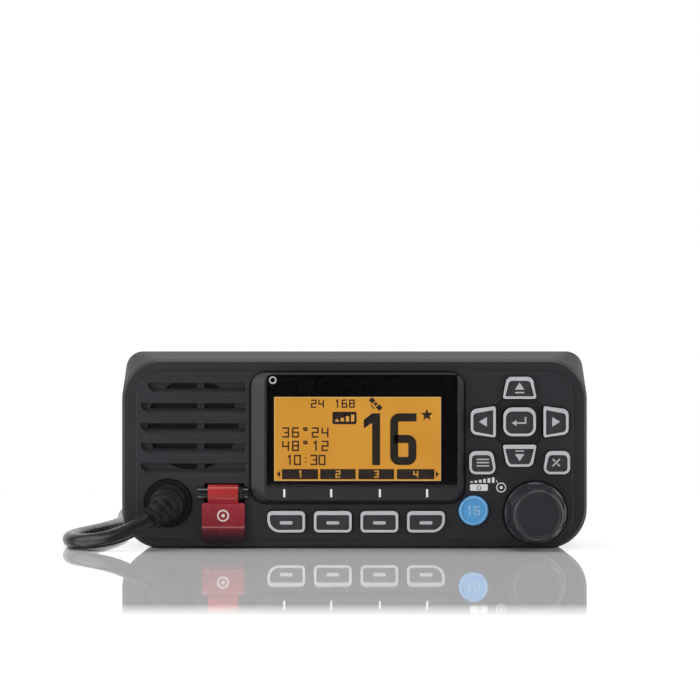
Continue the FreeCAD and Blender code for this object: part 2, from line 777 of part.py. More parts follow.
def frontPanel():
    document.recompute()
    side = f"({halfWidth} - plateau_side)"
    plateau = plate("plateau", bare(rectangle(f"-{side}", side, "plateau_bottom",
                                              "panel_front_top - plateau_top_margin")),
                    f"{innerFront} + 1", "panel_skin - 1", ["plateau_corner"] * 4)
    bezel = document.addObject("PartDesign::Body", "bezel")
    loftedRing(bezel, "PartDesign::AdditiveLoft", "bezel_slope",
               bezelOutline(plateauFront, 0, "bezel_low_corner", "bezel_high_corner"),
               bezelOutline(bezelFront, 1, "bezel_face_corner"))
    solids = [panelShell(), plateau, bezel]
    for step, (across, up) in enumerate(screwPlaces):
        solids.append(rod(f"boss_{step}", "Y", "boss_radius", "panel_back", f"{innerFront} - panel_back + 0.5",
                          across, up))
    solids.append(block("hinge_well", "pin_left - 1.6", "pin_right + 1.4", f"{innerFront} + 0.5",
                        f"{plateauFront} - well_deep", "hinge_z - barrel_radius - well_gap - 1.2",
                        "hinge_z + barrel_radius + well_gap + 1.2"))
    for step, (across, up) in enumerate(boardPosts):
        solids.append(rod(f"post_{step}", "Y", "post_radius", boardFront, f"{innerFront} - {boardFront} + 0.5",
                          across, up))
    holes = speakerOpenings()
    for name, (corners, radii) in keyOutlines.items():
        holes.append(plate(name + "_hole", bare(grown(corners, "key_gap")), f"{innerFront} - 1",
                           "panel_skin + 2", [f"{radius} + key_gap" for radius in radii]))
    holes.append(rod("round_key_hole", "Y", "round_key_radius + key_gap", f"{innerFront} - 1", "panel_skin + 2",
                     "round_key_x", "round_key_z"))
    holes.append(cone("enter_dish", "enter_dish_floor_radius", "enter_dish_radius",
                      f"{plateauFront} - enter_dish_depth", "enter_dish_depth", "pad_x", "pad_z"))
    holes.append(rod("knob_dish", "Y", "knob_dish_radius", f"{plateauFront} - knob_dish_depth", "4", "knob_x",
                     "knob_z"))
    holes.append(rod("bushing_hole", "Y", "bushing_radius + shaft_gap", f"{innerFront} - 1", "4", "knob_x",
                     "knob_z"))
    holes.append(rod("boot_socket", "Y", "boot_flange_radius + 0.2", f"{plateauFront} - boot_socket_depth", "4",
                     "boot_x", "boot_z"))
    holes.append(rod("boot_hole", "Y", "boot_radius - 0.6", f"{innerFront} - 1", "panel_skin + 2", "boot_x",
                     "boot_z"))
    holes.append(rod("pin_channel", "X", "pin_radius + 0.02", "pin_left", "pin_right - pin_left", plateauFront,
                     "hinge_z"))
    holes.append(rod("barrel_channel", "X", "barrel_radius + well_gap", "barrel_left - 1.4",
                     "barrel_right - barrel_left + 1.4 + spring_space", plateauFront, "hinge_z"))
    holes.append(plate("window_seat", bare(rectangle("window_left - 0.1", "window_right + 0.1",
                                                     "window_bottom - 0.1", "window_top + 0.1")),
                       f"{bezelFront} + window_proud - window_thick", "window_thick + 1",
                       ["window_corner"] * 4))
    holes.append(block("lcd_opening", "lcd_left - lcd_margin - 0.2", "lcd_right + lcd_margin + 0.2",
                       f"{bezelFront} + 1", f"{innerFront} - 1", "lcd_bottom - lcd_margin * 0.6 - 0.2",
                       "lcd_top + lcd_margin + 0.2"))
    for step, (across, up) in enumerate(screwPlaces):
        holes.append(rod(f"boss_bore_{step}", "Y", "screw_radius", "panel_back", "screw_grip", across, up))
    panel = cut("front_panel", fuse("panel_solids", solids), holes)
    return piece("front_panel", panel)


boardPosts = [("bezel_right + post_gap", "post_middle"), ("bezel_right - post_low_inset", "post_low"),
              ("panel_width / 2 - post_side", "post_middle"), ("bezel_left + post_left_inset", "post_left"),
              ("bezel_right + post_high_gap", "post_high")]
frontPanel()


# ---------------------------------------------------------------- display
def display():
    window = plate("window", bare(rectangle("window_left", "window_right", "window_bottom", "window_top")),
                   f"{bezelFront} + window_proud - window_thick", "window_thick", ["window_corner"] * 4)
    piece("display_window", window)
    lcdFront = f"({bezelFront} + window_proud - window_thick)"
    left = "(lcd_left - lcd_margin)"
    right = "(lcd_right + lcd_margin)"
    low = "(lcd_bottom - lcd_margin * 0.6)"
    high = "(lcd_top + lcd_margin)"
    piece("lcd_panel", block("lcd", left, right, lcdFront, f"{lcdFront} - lcd_thick", low, high))
    lightFront = f"({lcdFront} - lcd_thick)"
    piece("backlight_diffuser", block("diffuser", left, right, lightFront, f"{lightFront} - diffuser_thick", low,
                                      high))
    wall = "holder_wall"
    back = f"({lightFront} - diffuser_thick - holder_floor)"
    shell = block("holder_shell", f"{left} - {wall} - 0.2", f"{right} + {wall} + 0.2", f"{innerFront} - 0.1", back,
                  f"{low} - {wall} - 0.2", f"{high} + {wall} + 0.2")
    hollow = block("holder_hollow", f"{left} - 0.1", f"{right} + 0.1", innerFront, f"{back} + holder_floor",
                   f"{low} - 0.1", f"{high} + 0.1")
    piece("lcd_holder", cut("holder", shell, [hollow]))


# ---------------------------------------------------------------- keys
def flangedKey(name, corners, radii, front):
    """A cap with a raised rim round its dished face, and a flange behind the panel that keeps it in."""
    cap = plate(name + "_cap", bare(corners), keyFlangeFront, f"{front} - {keyFlangeFront}", radii)
    flange = plate(name + "_flange", bare(grown(corners, "key_flange")), keyFlangeBack, "key_flange_thick", radii)
    inner = [(x, z if rise < 0 else f"{z} - key_crest") for x, z, side, rise in grown(corners, "-key_rim")]
    dish = plate(name + "_dish", inner, f"{front} - key_dish", "key_dish + 1",
                 [f"max({radius} - key_rim; 0.3)" for radius in radii])
    return piece(name, cut(name, fuse(name + "_solids", [cap, flange]), [dish]))


def keys():
    for name, (corners, radii) in keyOutlines.items():
        front = f"({plateauFront} - 0.1)" if name == "alert_key" else keyFront
        flangedKey(name, corners, radii, front)
    profile = [("0", keyFlangeBack), ("round_key_radius + key_flange", keyFlangeBack),
               ("round_key_radius + key_flange", keyFlangeFront), ("round_key_radius", keyFlangeFront),
               ("round_key_radius", f"{keyFront} - 0.4"), ("round_key_radius - 0.4", keyFront),
               ("round_key_radius - key_rim", keyFront), ("round_key_radius - key_rim - 0.2",
                                                         f"{keyFront} - key_dish"), ("0", f"{keyFront} - key_dish")]
    piece("channel_16_key", turned("channel_16_key", profile, "round_key_x", "round_key_z"))


def keypadAndBoard():
    """The silicone sheet with a dome under each key, and the board behind it."""
    corners = [("front_board_leg", "front_board_bottom"), ("front_board_right", "front_board_bottom"),
               ("front_board_right", "front_board_top"), ("front_board_left", "front_board_top"),
               ("front_board_left", "front_board_leg_top"), ("front_board_leg", "front_board_leg_top")]
    display = block("membrane_display_gap", "lcd_left - 6", "lcd_right + 6", f"{boardFront} + 5",
                    f"{boardFront} - 5",
                    "lcd_bottom - 4.5", "lcd_top + 9")
    bosses = [rod(f"membrane_boss_gap_{i}", "Y", "boss_radius + 0.5", f"{boardBack} - 1", "9", across, up)
              for i, (across, up) in enumerate(screwPlaces)]
    bushing = rod("membrane_bushing_gap", "Y", "bushing_radius + 0.6", f"{boardBack} - 1", "9", "knob_x", "knob_z")
    posts = [rod(f"membrane_post_gap_{i}", "Y", "post_radius + 0.3", f"{boardFront} - 1", "5", across, up)
             for i, (across, up) in enumerate(boardPosts)]
    sheetSolid = prism("membrane_sheet", "XZ_Plane", corners, boardFront, "membrane_thick")
    domes = []
    middles = {f"softkey_{n + 1}": (f"softkey_first_x + {n} * softkey_pitch", "softkey_z") for n in range(4)}
    middles["channel_up_key"] = ("pad_x", "pad_z + arrow_reach + arrow_height / 2")
    middles["channel_down_key"] = ("pad_x", "pad_z - arrow_reach - arrow_height / 2")
    middles["left_key"] = ("pad_x - side_reach - side_width / 2", "pad_z")
    middles["right_key"] = ("pad_x + side_reach + side_width / 2", "pad_z")
    middles["menu_key"] = ("pad_x - lower_key_spread", "pad_z - lower_key_drop")
    middles["clear_key"] = ("pad_x + lower_key_spread", "pad_z - lower_key_drop")
    middles["enter_key"] = ("pad_x", "pad_z")
    middles["alert_key"] = ("(alert_left + alert_right) / 2", "(alert_bottom + alert_top) / 2")
    middles["channel_16_key"] = ("round_key_x", "round_key_z")
    for name, (across, up) in middles.items():
        domes.append(rod(name + "_dome", "Y", "dome_radius", boardFront, "membrane_thick + dome_rise", across, up))
    membrane = cut("membrane", fuse("membrane_solids", [sheetSolid] + domes), [display, bushing] + bosses + posts)
    piece("keypad_membrane", membrane)
    board = prism("board_sheet", "XZ_Plane", corners, boardBack, "board_thick")
    boardDisplay = block("board_display_gap", "lcd_left - 5.4", "lcd_right + 5.4", f"{boardFront} + 5",
                         f"{boardFront} - 5", "lcd_bottom - 3.9", "lcd_top + 5.4")
    boardBosses = [rod(f"board_boss_gap_{i}", "Y", "boss_radius + 0.5", f"{boardBack} - 1", "9", across, up)
                   for i, (across, up) in enumerate(screwPlaces)]
    boardBushing = rod("board_bushing_gap", "Y", "bushing_radius + 0.05", f"{boardBack} - 1", "9", "knob_x",
                       "knob_z")
    piece("front_board", cut("front_board", board, [boardDisplay, boardBushing] + boardBosses))


# ---------------------------------------------------------------- volume knob
knobBack = f"({plateauFront} - knob_dish_depth + knob_float)"
knobFront = f"({plateauFront} + knob_height)"


def octagon(flat):
    """Corners of an octagon whose flats lie at a distance from the middle."""
    ratio = round(math.tan(math.radians(22.5)), 6)
    short = f"({flat}) * {ratio}"
    far = f"({flat})"
    return [(far, f"-{short}"), (far, short), (short, far), (f"-{short}", far), (f"-{far}", short),
            (f"-{far}", f"-{short}"), (f"-{short}", f"-{far}"), (short, f"-{far}")]


def volumeKnob():
    skirtFront = f"({knobBack} + knob_skirt_height)"
    skirt = turned("knob_skirt", [("0", knobBack), ("knob_skirt_radius", knobBack),
                                  ("knob_skirt_radius", f"{skirtFront} - 0.8"),
                                  ("knob_skirt_radius - 0.8", skirtFront), ("0", skirtFront)], "knob_x", "knob_z")
    grip = document.addObject("PartDesign::Body", "knob_grip")
    outlines = []
    for front, flat in ((skirtFront, "knob_flat"), (f"{knobFront} - 1.2", "knob_tip_flat")):
        sketch = sketchOn(grip, "XZ_Plane", front)
        polygon(sketch, octagon(flat))
        outlines.append(sketch)
    loft = grip.newObject("PartDesign::AdditiveLoft", "knob_grip_loft")
    loft.Profile = outlines[0]
    loft.Sections = [outlines[1]]
    loft.Ruled = True
    bind(grip, x="knob_x", z="knob_z")
    tip = turned("knob_tip", [("0", f"{knobFront} - 1.4"), ("knob_tip_flat", f"{knobFront} - 1.4"),
                              ("knob_tip_radius", f"{knobFront} - 0.4"), ("knob_tip_radius - 0.5", knobFront),
                              ("knob_face_radius + 0.4", knobFront), ("knob_face_radius",
                                                                     f"{knobFront} - knob_face_depth"),
                              ("0", f"{knobFront} - knob_face_depth")], "knob_x", "knob_z")
    knobBarrel = rod("knob_round", "Y", "knob_skirt_radius", skirtFront, f"{knobFront} - {skirtFront} + 1",
                     "knob_x", "knob_z")
    hollow = rod("knob_hollow", "Y", "nut_flats / 2 + 1.6", f"{knobBack} - 1", "nut_thick + 2.6", "knob_x",
                 "knob_z")
    bore = common("knob_bore", rod("knob_bore_round", "Y", "shaft_radius + 0.01", knobBack, "knob_height - 3.6",
                                   "knob_x", "knob_z"),
                  block("knob_bore_flat", "knob_x - shaft_radius - 1", "knob_x + shaft_radius + 1",
                        f"{knobFront} + 1", f"{knobBack} - 1", "knob_z - shaft_radius - 1",
                        "knob_z + shaft_flat + 0.01"))
    gripRound = common("knob_grip_round", grip, knobBarrel)
    piece("volume_knob", cut("knob", fuse("knob_solids", [skirt, gripRound, tip]), [hollow, bore]))
    shaftBack = f"({boardBack} - encoder_deep + 1.4 + knob_push)"
    shaft = common("shaft", rod("shaft_round", "Y", "shaft_radius", shaftBack,
                                f"{knobBack} + knob_height - 3.7 - {shaftBack}", "knob_x", "knob_z"),
                   fuse("shaft_keep", [block("shaft_flat_zone", "knob_x - 5", "knob_x + 5", f"{knobFront} + 1",
                                             f"{plateauFront} + 2.4", "knob_z - 5", "knob_z + shaft_flat"),
                                       block("shaft_round_zone", "knob_x - 5", "knob_x + 5",
                                             f"{plateauFront} + 2.4", f"{shaftBack} - 1", "knob_z - 5",
                                             "knob_z + 5")]))
    piece("encoder_shaft", shaft)
    collar = cut("collar", rod("collar_disc", "Y", "collar_radius", f"{boardBack} - 2.4", "collar_thick", "knob_x",
                               "knob_z"),
                 [rod("collar_bore", "Y", "shaft_radius + shaft_gap", f"{boardBack} - 4", "9", "knob_x", "knob_z")])
    piece("encoder_collar", collar)
    half = "encoder_side / 2"
    case = block("encoder_case", f"knob_x - {half}", f"knob_x + {half}", boardBack, f"{boardBack} - encoder_deep",
                 f"knob_z - {half}", f"knob_z + {half}")
    bushing = rod("encoder_bushing", "Y", "bushing_radius", boardBack, "bushing_length", "knob_x", "knob_z")
    well = rod("encoder_well", "Y", "collar_radius + 0.2", f"{boardBack} - encoder_deep + 1", "encoder_deep - 1.4",
               "knob_x", "knob_z")
    through = rod("encoder_bore", "Y", "shaft_radius + shaft_gap", f"{boardBack} - 3", "bushing_length + 4",
                  "knob_x", "knob_z")
    piece("encoder_body", cut("encoder", fuse("encoder_solids", [case, bushing]), [well, through]))
    dishFloor = f"({plateauFront} - knob_dish_depth)"
    flats = "nut_flats / 2"
    hexagon = [(f"{flats}", f"-{flats} * 0.57735"), (f"{flats}", f"{flats} * 0.57735"), ("0", f"{flats} * 1.1547"),
               (f"-{flats}", f"{flats} * 0.57735"), (f"-{flats}", f"-{flats} * 0.57735"),
               ("0", f"-{flats} * 1.1547")]
    nut = plate("nut", hexagon, dishFloor, "nut_thick")
    bind(nut, x="knob_x", z="knob_z")
    nutBore = rod("nut_bore", "Y", "bushing_radius", f"{dishFloor} - 1", "nut_thick + 2", "knob_x", "knob_z")
    piece("encoder_nut", cut("encoder_nut", nut, [nutBore]))
    seal = cut("seal_ring", rod("seal_disc", "Y", "bushing_radius + 2.6", f"{innerFront} - 1.2", "1.2", "knob_x",
                                "knob_z"),
               [rod("seal_bore", "Y", "bushing_radius", f"{innerFront} - 2", "4", "knob_x", "knob_z")])
    piece("knob_seal", seal)


# ---------------------------------------------------------------- speaker
def speaker():
    screen = rod("screen", "Y", "speaker_radius", f"{innerFront} - screen_thick", "screen_thick", "speaker_x",
                 "speaker_z")
    piece("speaker_membrane", screen)
    rimFront = f"({innerFront} - screen_thick)"
    rimBack = f"({rimFront} - speaker_rim_deep)"
    magnetFront = f"({rimFront} - speaker_deep + magnet_thick)"
    frame = [("speaker_radius", rimFront), ("speaker_radius", rimBack), ("magnet_radius + 1.2", magnetFront),
             ("0", magnetFront), ("0", f"{magnetFront} + 0.8"), ("magnet_radius + 0.6", f"{magnetFront} + 0.8"),
             ("speaker_radius - speaker_rim", f"{rimBack} + 0.5"), ("speaker_radius - speaker_rim", rimFront)]
    piece("speaker_frame", turned("speaker_frame", frame, "speaker_x", "speaker_z"))
    edge = "speaker_radius - speaker_rim - 0.1"
    paper = [(edge, f"{rimFront} - 0.5"), (edge, f"{rimFront} - 0.5 - cone_thick"),
             ("5.2", f"{magnetFront} + 1.2"), ("0", f"{magnetFront} + 1.2"),
              ("0", f"{magnetFront} + 1.2 + cone_thick"),
             ("4.9", f"{magnetFront} + 1.2 + cone_thick")]
    piece("speaker_cone", turned("speaker_cone", paper, "speaker_x", "speaker_z"))
    magnet = rod("magnet", "Y", "magnet_radius", f"{magnetFront} - magnet_thick", "magnet_thick", "speaker_x",
                 "speaker_z")
    piece("speaker_magnet", magnet)


# ---------------------------------------------------------------- flip cover over the alert key
def flipCover():
    barrel = rod("cover_barrel", "X", "barrel_radius", "barrel_left", "barrel_right - barrel_left", plateauFront,
                 "hinge_z")
    lift = f"({plateauFront} + cover_lift)"
    front = f"({lift} + cover_thick)"
    ridge = "(cover_bottom + cover_lip)"
    profile = [(f"-{lift}", "cover_bottom"), (f"-{lift} - cover_lip_thin", "cover_bottom"),
               (f"-{front} - cover_ridge", f"{ridge} - cover_ridge_wide"), (f"-{front} - cover_ridge", ridge),
               (f"-{front}", f"{ridge} + cover_ridge"), (f"-{front}", "cover_top - 1.0"),
               (f"-{front} + 0.7", "cover_top"), (f"-{front} + 0.9", "hinge_z + 1"), (f"-{lift}", "hinge_z + 1")]
    flap = prism("cover_flap", "YZ_Plane", profile, "cover_left", "cover_right - cover_left")
    keepBody = plate("cover_keep_body", bare(rectangle("cover_left", "cover_right", "cover_bottom", "cover_top")),
                     f"{lift} - 1", "cover_thick + cover_ridge + 2", ["cover_corner"] * 2 + ["cover_corner / 2"] * 2)
    keepNeck = block("cover_keep_neck", "barrel_left", "barrel_right", f"{front} + 5", f"{lift} - 1",
                     "cover_top - 1", "hinge_z + 1")
    shaped = common("cover_shaped", flap, fuse("cover_keep", [keepBody, keepNeck]))
    bore = rod("cover_bore", "X", "pin_radius + pin_gap", "barrel_left - 1", "barrel_right - barrel_left + 2",
               plateauFront, "hinge_z")
    clearance = rod("cover_clearance", "X", "barrel_radius", "cover_left - 1", "barrel_left - cover_left + 1",
                    plateauFront, "hinge_z")
    solid = cut("cover", fuse("cover_solids", [shaped, barrel]), [bore, clearance])
    piece("alert_cover", solid)
    pin = rod("hinge_pin", "X", "pin_radius", "pin_left", "pin_right - pin_left", plateauFront, "hinge_z")
    piece("cover_hinge_pin", pin)
    coils = []
    for turn in range(3):
        coil = document.addObject("Part::Torus", f"coil_{turn}")
        coil.Placement = FreeCAD.Placement(Vector(), xAxis)
        bind(coil, Radius1="pin_radius + spring_wire + 0.1", Radius2="spring_wire",
             x=f"barrel_right + 0.4 + {turn} * spring_wire * 1.7", y=f"-{plateauFront}", z="hinge_z")
        coils.append(coil)
    piece("cover_spring", fuse("cover_spring", coils))


display()
keys()
keypadAndBoard()
volumeKnob()
speaker()
flipCover()
document.recompute()


# ---------------------------------------------------------------- rear chassis
flangeFront = "(panel_back - seal_thick)"
flangeBack = f"({flangeFront} - flange_thick)"
wallInside = "(rear_wall_back - rear_wall)"
rearPlaces = {"antenna": ("antenna_x", "antenna_z"), "power": ("power_x", "gland_z"),
              "accessory": ("accessory_x", "gland_z"), "gps": ("gps_x", "gps_z"),
              "ground": ("ground_x", "ground_z")}
standoffs = [(f"({side}) * standoff_x", place)
             for side in (-1, 1) for place in ("standoff_front", "-standoff_back")]


def rearCorners(inset):
    """Corner radii of the panel's rear edge, anticlockwise from the lower left, some way inside it."""
    return [f"panel_corner - {inset}"] * 2 + [f"panel_rear_corner - {inset}"] * 2


def mainSeal():
    def ring(name, inset, back, thick):
        side = f"({halfWidth} - {inset})"
        corners = bare(rectangle(f"-{side}", side, inset, f"panel_rear_top - {inset}"))
        return plate(name, corners, back, thick, rearCorners(inset))
    outer = ring("seal_outer", "seal_inset", flangeFront, "seal_thick")
    inner = ring("seal_inner", "(seal_inset + seal_width)", f"{flangeFront} - 1", "seal_thick + 2")
    piece("main_seal", cut("main_seal", outer, [inner]))


def insertPrism(name, start, length):
    """A six-sided bar along X, for the bracket inserts and their pockets."""
    bar = document.addObject("Part::Prism", name)
    bar.Polygon = 6
    bar.Placement = FreeCAD.Placement(Vector(), xAxis)
    bind(bar, Circumradius="insert_corner", Height=length, x=start, y="bracket_y", z="bracket_z")
    return bar


def sideBosses(name):
    """The closed bosses in the side walls, one for each bracket insert."""
    length = "(insert_length + boss_end)"
    return [rod(name, "X", "boss_radius_side", f"({side}) * chassis_half_width - {(1 + side) // 2} * {length}",
                length, "-bracket_y", "bracket_z") for side in (-1, 1)]


def rearChassis():
    side = f"({halfWidth} - flange_inset)"
    flange = plate("chassis_flange", bare(rectangle(f"-{side}", side, "flange_inset",
                                                    "panel_rear_top - flange_inset")),
                   flangeBack, "flange_thick", rearCorners("flange_inset"))
    corners = bare(rectangle("-chassis_half_width", "chassis_half_width", "chassis_bottom", "chassis_top"))
    tub = plate("chassis_tub", corners, f"-{wallInside}", f"{wallInside} + {flangeFront}", ["chassis_corner"] * 4)
    solids = [flange, tub]
    for step in range(-7, 8):
        middle = f"({step}) * fin_pitch"
        left, right = f"{middle} - fin_thick / 2", f"{middle} + fin_thick / 2"
        solids.append(block("bottom_rib", left, right, flangeBack, f"-{wallInside}", "0", "chassis_bottom + 1"))
        solids.append(block("top_rib", left, right, flangeBack, f"-{wallInside}", "chassis_top - 1",
                            "chassis_top + fin_rise"))
    tubHollow = block("tub_hollow", "chassis_wall - chassis_half_width", "chassis_half_width - chassis_wall",
                      f"{flangeFront} + 1", f"-{wallInside} - 1", "chassis_bottom + chassis_wall",
                      "chassis_top - chassis_wall")
    standing = [rod("standoff", "Z", "standoff_radius", "chassis_bottom + chassis_wall - 0.5",
                    "main_board_z - chassis_bottom - chassis_wall + 0.5", across, front)
                for across, front in standoffs]
    shell = cut("chassis_shell", fuse("chassis_solids", solids), [tubHollow])
    solid = fuse("chassis_filled", [shell] + sideBosses("side_boss") + standing)
    holes = []
    for side in (-1, 1):
        start = f"({side}) * chassis_half_width - {(1 + side) // 2} * insert_length - {(1 - side) // 2} * 1"
        holes.append(insertPrism("insert_pocket", start, "insert_length + 1"))
    for across, up in screwPlaces:
        holes.append(rod("flange_hole", "Y", "screw_radius + screw_gap", f"{flangeBack} - 1", "flange_thick + 2",
                         across, up))
    for across, front in standoffs:
        holes.append(rod("standoff_bore", "Z", "screw_radius - 0.3", "chassis_bottom + chassis_wall", "8", across,
                         front))
    piece("rear_chassis", cut("chassis", solid, holes))


def heatSink():
    corners = bare(rectangle("-chassis_half_width", "chassis_half_width", "chassis_bottom", "chassis_top"))
    solids = [plate("sink_plate", corners, "-rear_wall_back", "rear_wall", ["chassis_corner"] * 4)]
    rearFins = []
    for step in range(-7, 8):
        left, right = f"({step}) * fin_pitch - fin_thick / 2", f"({step}) * fin_pitch + fin_thick / 2"
        solids.append(block("sink_foot", left, right, f"-{wallInside}", "-rear_wall_back", "0",
                            "chassis_bottom + 1"))
        solids.append(block("sink_crest", left, right, f"-{wallInside}", "-rear_wall_back", "chassis_top - 1",
                            "chassis_top + fin_rise"))
        rearFins.append(block("rear_fin", left, right, "1 - rear_wall_back", "-rear_wall_back - fin_depth",
                              "chassis_bottom", "chassis_top + fin_rise"))
    bays = [rod(f"{name}_bay", "Y", reach, "-rear_wall_back - fin_depth - 1", "fin_depth + 1", *rearPlaces[name])
            for name, reach in (("antenna", "antenna_flange + 2.5"), ("power", "gland_radius + 3"),
                                ("accessory", "gland_radius * accessory_scale + 3"), ("gps", "gps_radius + 4.5"),
                                ("ground", "ground_head + 3"))]
    solids.append(cut("rear_fins", fuse("fins", rearFins), bays))
    holes = [rod(f"{name}_hole", "Y", radius, "-rear_wall_back - 1", "rear_wall + 2", *rearPlaces[name])
             for name, radius in (("antenna", "antenna_radius - 0.9"), ("power", "gland_tip_radius + wall_gap"),
                                  ("accessory", "gland_tip_radius * accessory_scale + wall_gap"),
                                  ("gps", "gps_radius - 1 + wall_gap"), ("ground", "ground_radius + wall_gap"))]
    piece("heat_sink", cut("sink", fuse("sink_solids", solids), holes))


def mainBoard():
    board = block("main_board_plate", "-main_board_half_width", "main_board_half_width", "main_board_front",
                  "-main_board_back", "main_board_z", "main_board_z + board_thick")
    holes = [rod("main_board_hole", "Z", "screw_radius - 0.1", "main_board_z - 1", "4", across, front)
             for across, front in standoffs]
    piece("main_board", cut("main_board", board, holes))
    top = "(main_board_z + board_thick)"
    can = block("can", "can_x - can_width / 2", "can_x + can_width / 2", "can_y * -1 + can_length / 2",
                "can_y * -1 - can_length / 2", top, f"{top} + can_height")
    inside = block("can_inside", "can_x - can_width / 2 + can_wall", "can_x + can_width / 2 - can_wall",
                   "can_y * -1 + can_length / 2 - can_wall", "can_y * -1 - can_length / 2 + can_wall",
                   f"{top} - 1", f"{top} + can_height - can_wall")
    piece("shield_can", cut("shield_can", can, [inside]))
    piece("power_amp_module", block("amp", "amp_x - amp_width / 2", "amp_x + amp_width / 2",
                                    f"amp_deep - {wallInside}", f"-{wallInside}", top, f"{top} + amp_height"))


# ---------------------------------------------------------------- rear connectors
def rearConnectors():
    wall = "rear_wall_back"
    shellProfile = [("antenna_bore", f"-{wallInside} + 4"), ("antenna_radius - 1", f"-{wallInside} + 4"),
                    ("antenna_radius - 1", f"-{wall}"), ("antenna_flange", f"-{wall}"),
                    ("antenna_flange", f"-{wall} - antenna_flange_thick"),
                    ("antenna_radius", f"-{wall} - antenna_flange_thick"),
                    ("antenna_radius", f"-{wall} - antenna_length + 0.6"),
                    ("antenna_radius - 0.6", f"-{wall} - antenna_length"),
                    ("antenna_bore", f"-{wall} - antenna_length")]
    piece("antenna_connector", turned("antenna_shell", shellProfile, *rearPlaces["antenna"]))
    insulator = [("antenna_pin_bore", f"-{wallInside} + 4"), ("antenna_bore", f"-{wallInside} + 4"),
                 ("antenna_bore", f"-{wall} - antenna_length + 5"), ("antenna_pin_bore",
                                                                    f"-{wall} - antenna_length + 5")]
    piece("antenna_insulator", turned("antenna_insulator", insulator, *rearPlaces["antenna"]))
    glands = []
    for name, bore, scale in (("power", "power_bore", "1"), ("accessory", "accessory_bore", "accessory_scale")):
        profile = [(bore, f"-{wallInside} + 2"), (f"(gland_tip_radius + 1.6) * {scale}", f"-{wallInside} + 2"),
                   (f"(gland_tip_radius + 1.6) * {scale}", f"-{wallInside}"),
                   (f"gland_tip_radius * {scale}", f"-{wallInside}"), (f"gland_tip_radius * {scale}", f"-{wall}"),
                   (f"gland_radius * {scale}", f"-{wall}"), (f"gland_radius * {scale}", f"-{wall} - 2"),
                   (f"gland_tip_radius * {scale}", f"-{wall} - gland_length * {scale}"),
                   (bore, f"-{wall} - gland_length * {scale}")]
        glands.append(turned(name + "_gland", profile, *rearPlaces[name]))
    piece("lead_glands", fuse("lead_glands", glands))
    gps = [("0", f"-{wallInside} + 3"), ("gps_radius - 1", f"-{wallInside} + 3"), ("gps_radius - 1", f"-{wall}"),
           ("gps_radius + 2", f"-{wall}"), ("gps_radius + 2", f"-{wall} - 1.6"), ("gps_radius", f"-{wall} - 1.6"),
           ("gps_radius", f"-{wall} - gps_length"), ("gps_bore", f"-{wall} - gps_length"),
           ("gps_bore", f"-{wall} - 2"), ("0", f"-{wall} - 2")]
    piece("gps_connector", turned("gps_connector", gps, *rearPlaces["gps"]))
    screw = [("0", f"-{wallInside} + 2"), ("ground_radius", f"-{wallInside} + 2"), ("ground_radius", f"-{wall}"),
             ("ground_head", f"-{wall}"), ("ground_head", f"-{wall} - ground_head_thick"),
             ("0", f"-{wall} - ground_head_thick")]
    return turned("ground_screw", screw, *rearPlaces["ground"])


def inserts():
    rings = []
    for side in (-1, 1):
        start = f"({side}) * (chassis_half_width + insert_proud) - {(1 + side) // 2} * insert_length"
        ring = insertPrism("insert_ring", start, "insert_length")
        bore = rod("insert_bore", "X", "insert_bore", f"{start} - 1", "insert_length + 2", "-bracket_y",
                   "bracket_z")
        rings.append(cut("insert", ring, [bore]))
    piece("bracket_inserts", fuse("bracket_inserts", rings))


def screws(groundScrew):
    case = [groundScrew]
    for across, up in screwPlaces:
        head = rod("case_screw_head", "Y", "screw_head_radius", f"{flangeBack} - screw_head_thick",
                   "screw_head_thick", across, up)
        shank = rod("case_screw_shank", "Y", "screw_radius - 0.02", flangeBack,
                    f"panel_back + screw_grip - 0.5 - {flangeBack}", across, up)
        case.append(fuse("case_screw", [head, shank]))
    piece("chassis_screws", fuse("chassis_screws", case))
    board = []
    top = "(main_board_z + board_thick)"
    for across, front in standoffs:
        head = rod("board_screw_head", "Z", "board_screw_head", top, "1.6", across, front)
        shank = rod("board_screw_shank", "Z", "screw_radius - 0.32", "chassis_bottom + chassis_wall + 0.4",
                    f"{top} - chassis_bottom - chassis_wall - 0.3", across, front)
        board.append(fuse("board_screw", [head, shank]))
    piece("board_screws", fuse("board_screws", board))


# ---------------------------------------------------------------- cord, drawn through chosen points
tailRoute = [(-67.5, -61.6, 10.5), (-75.8, -64.0, 5.4), (-86.3, -62.2, 3.1), (-94.2, -54.6, 2.7),
             (-97.4, -43.0, 2.7), (-95.6, -25.0, 2.7), (-89.6, 3.0, 2.7), (-87.2, 36.0, 2.7), (-91.2, 66.0, 2.7),
             (-93.4, 96.0, 2.7), (-93.8, 116.0, 2.7), (-90.4, 132.0, 3.2), (-82.8, 145.4, 4.6),
             (-71.8, 154.2, 6.8), (-60.0, 158.6, 9.0)]
curlRoute = [(-60.0, 158.6, 9.0), (-22.0, 164.0, 9.0), (20.0, 164.4, 9.0), (60.0, 161.0, 9.0)]
leadRoute = [(60.0, 161.0, 9.0), (70.6, 159.4, 7.2), (80.2, 152.6, 4.8), (85.0, 141.5, 3.2), (84.4, 129.3, 3.4),
             (77.0, 118.6, 6.2), (64.8, 112.8, 10.3), (52.6, 112.0, 11.86)]


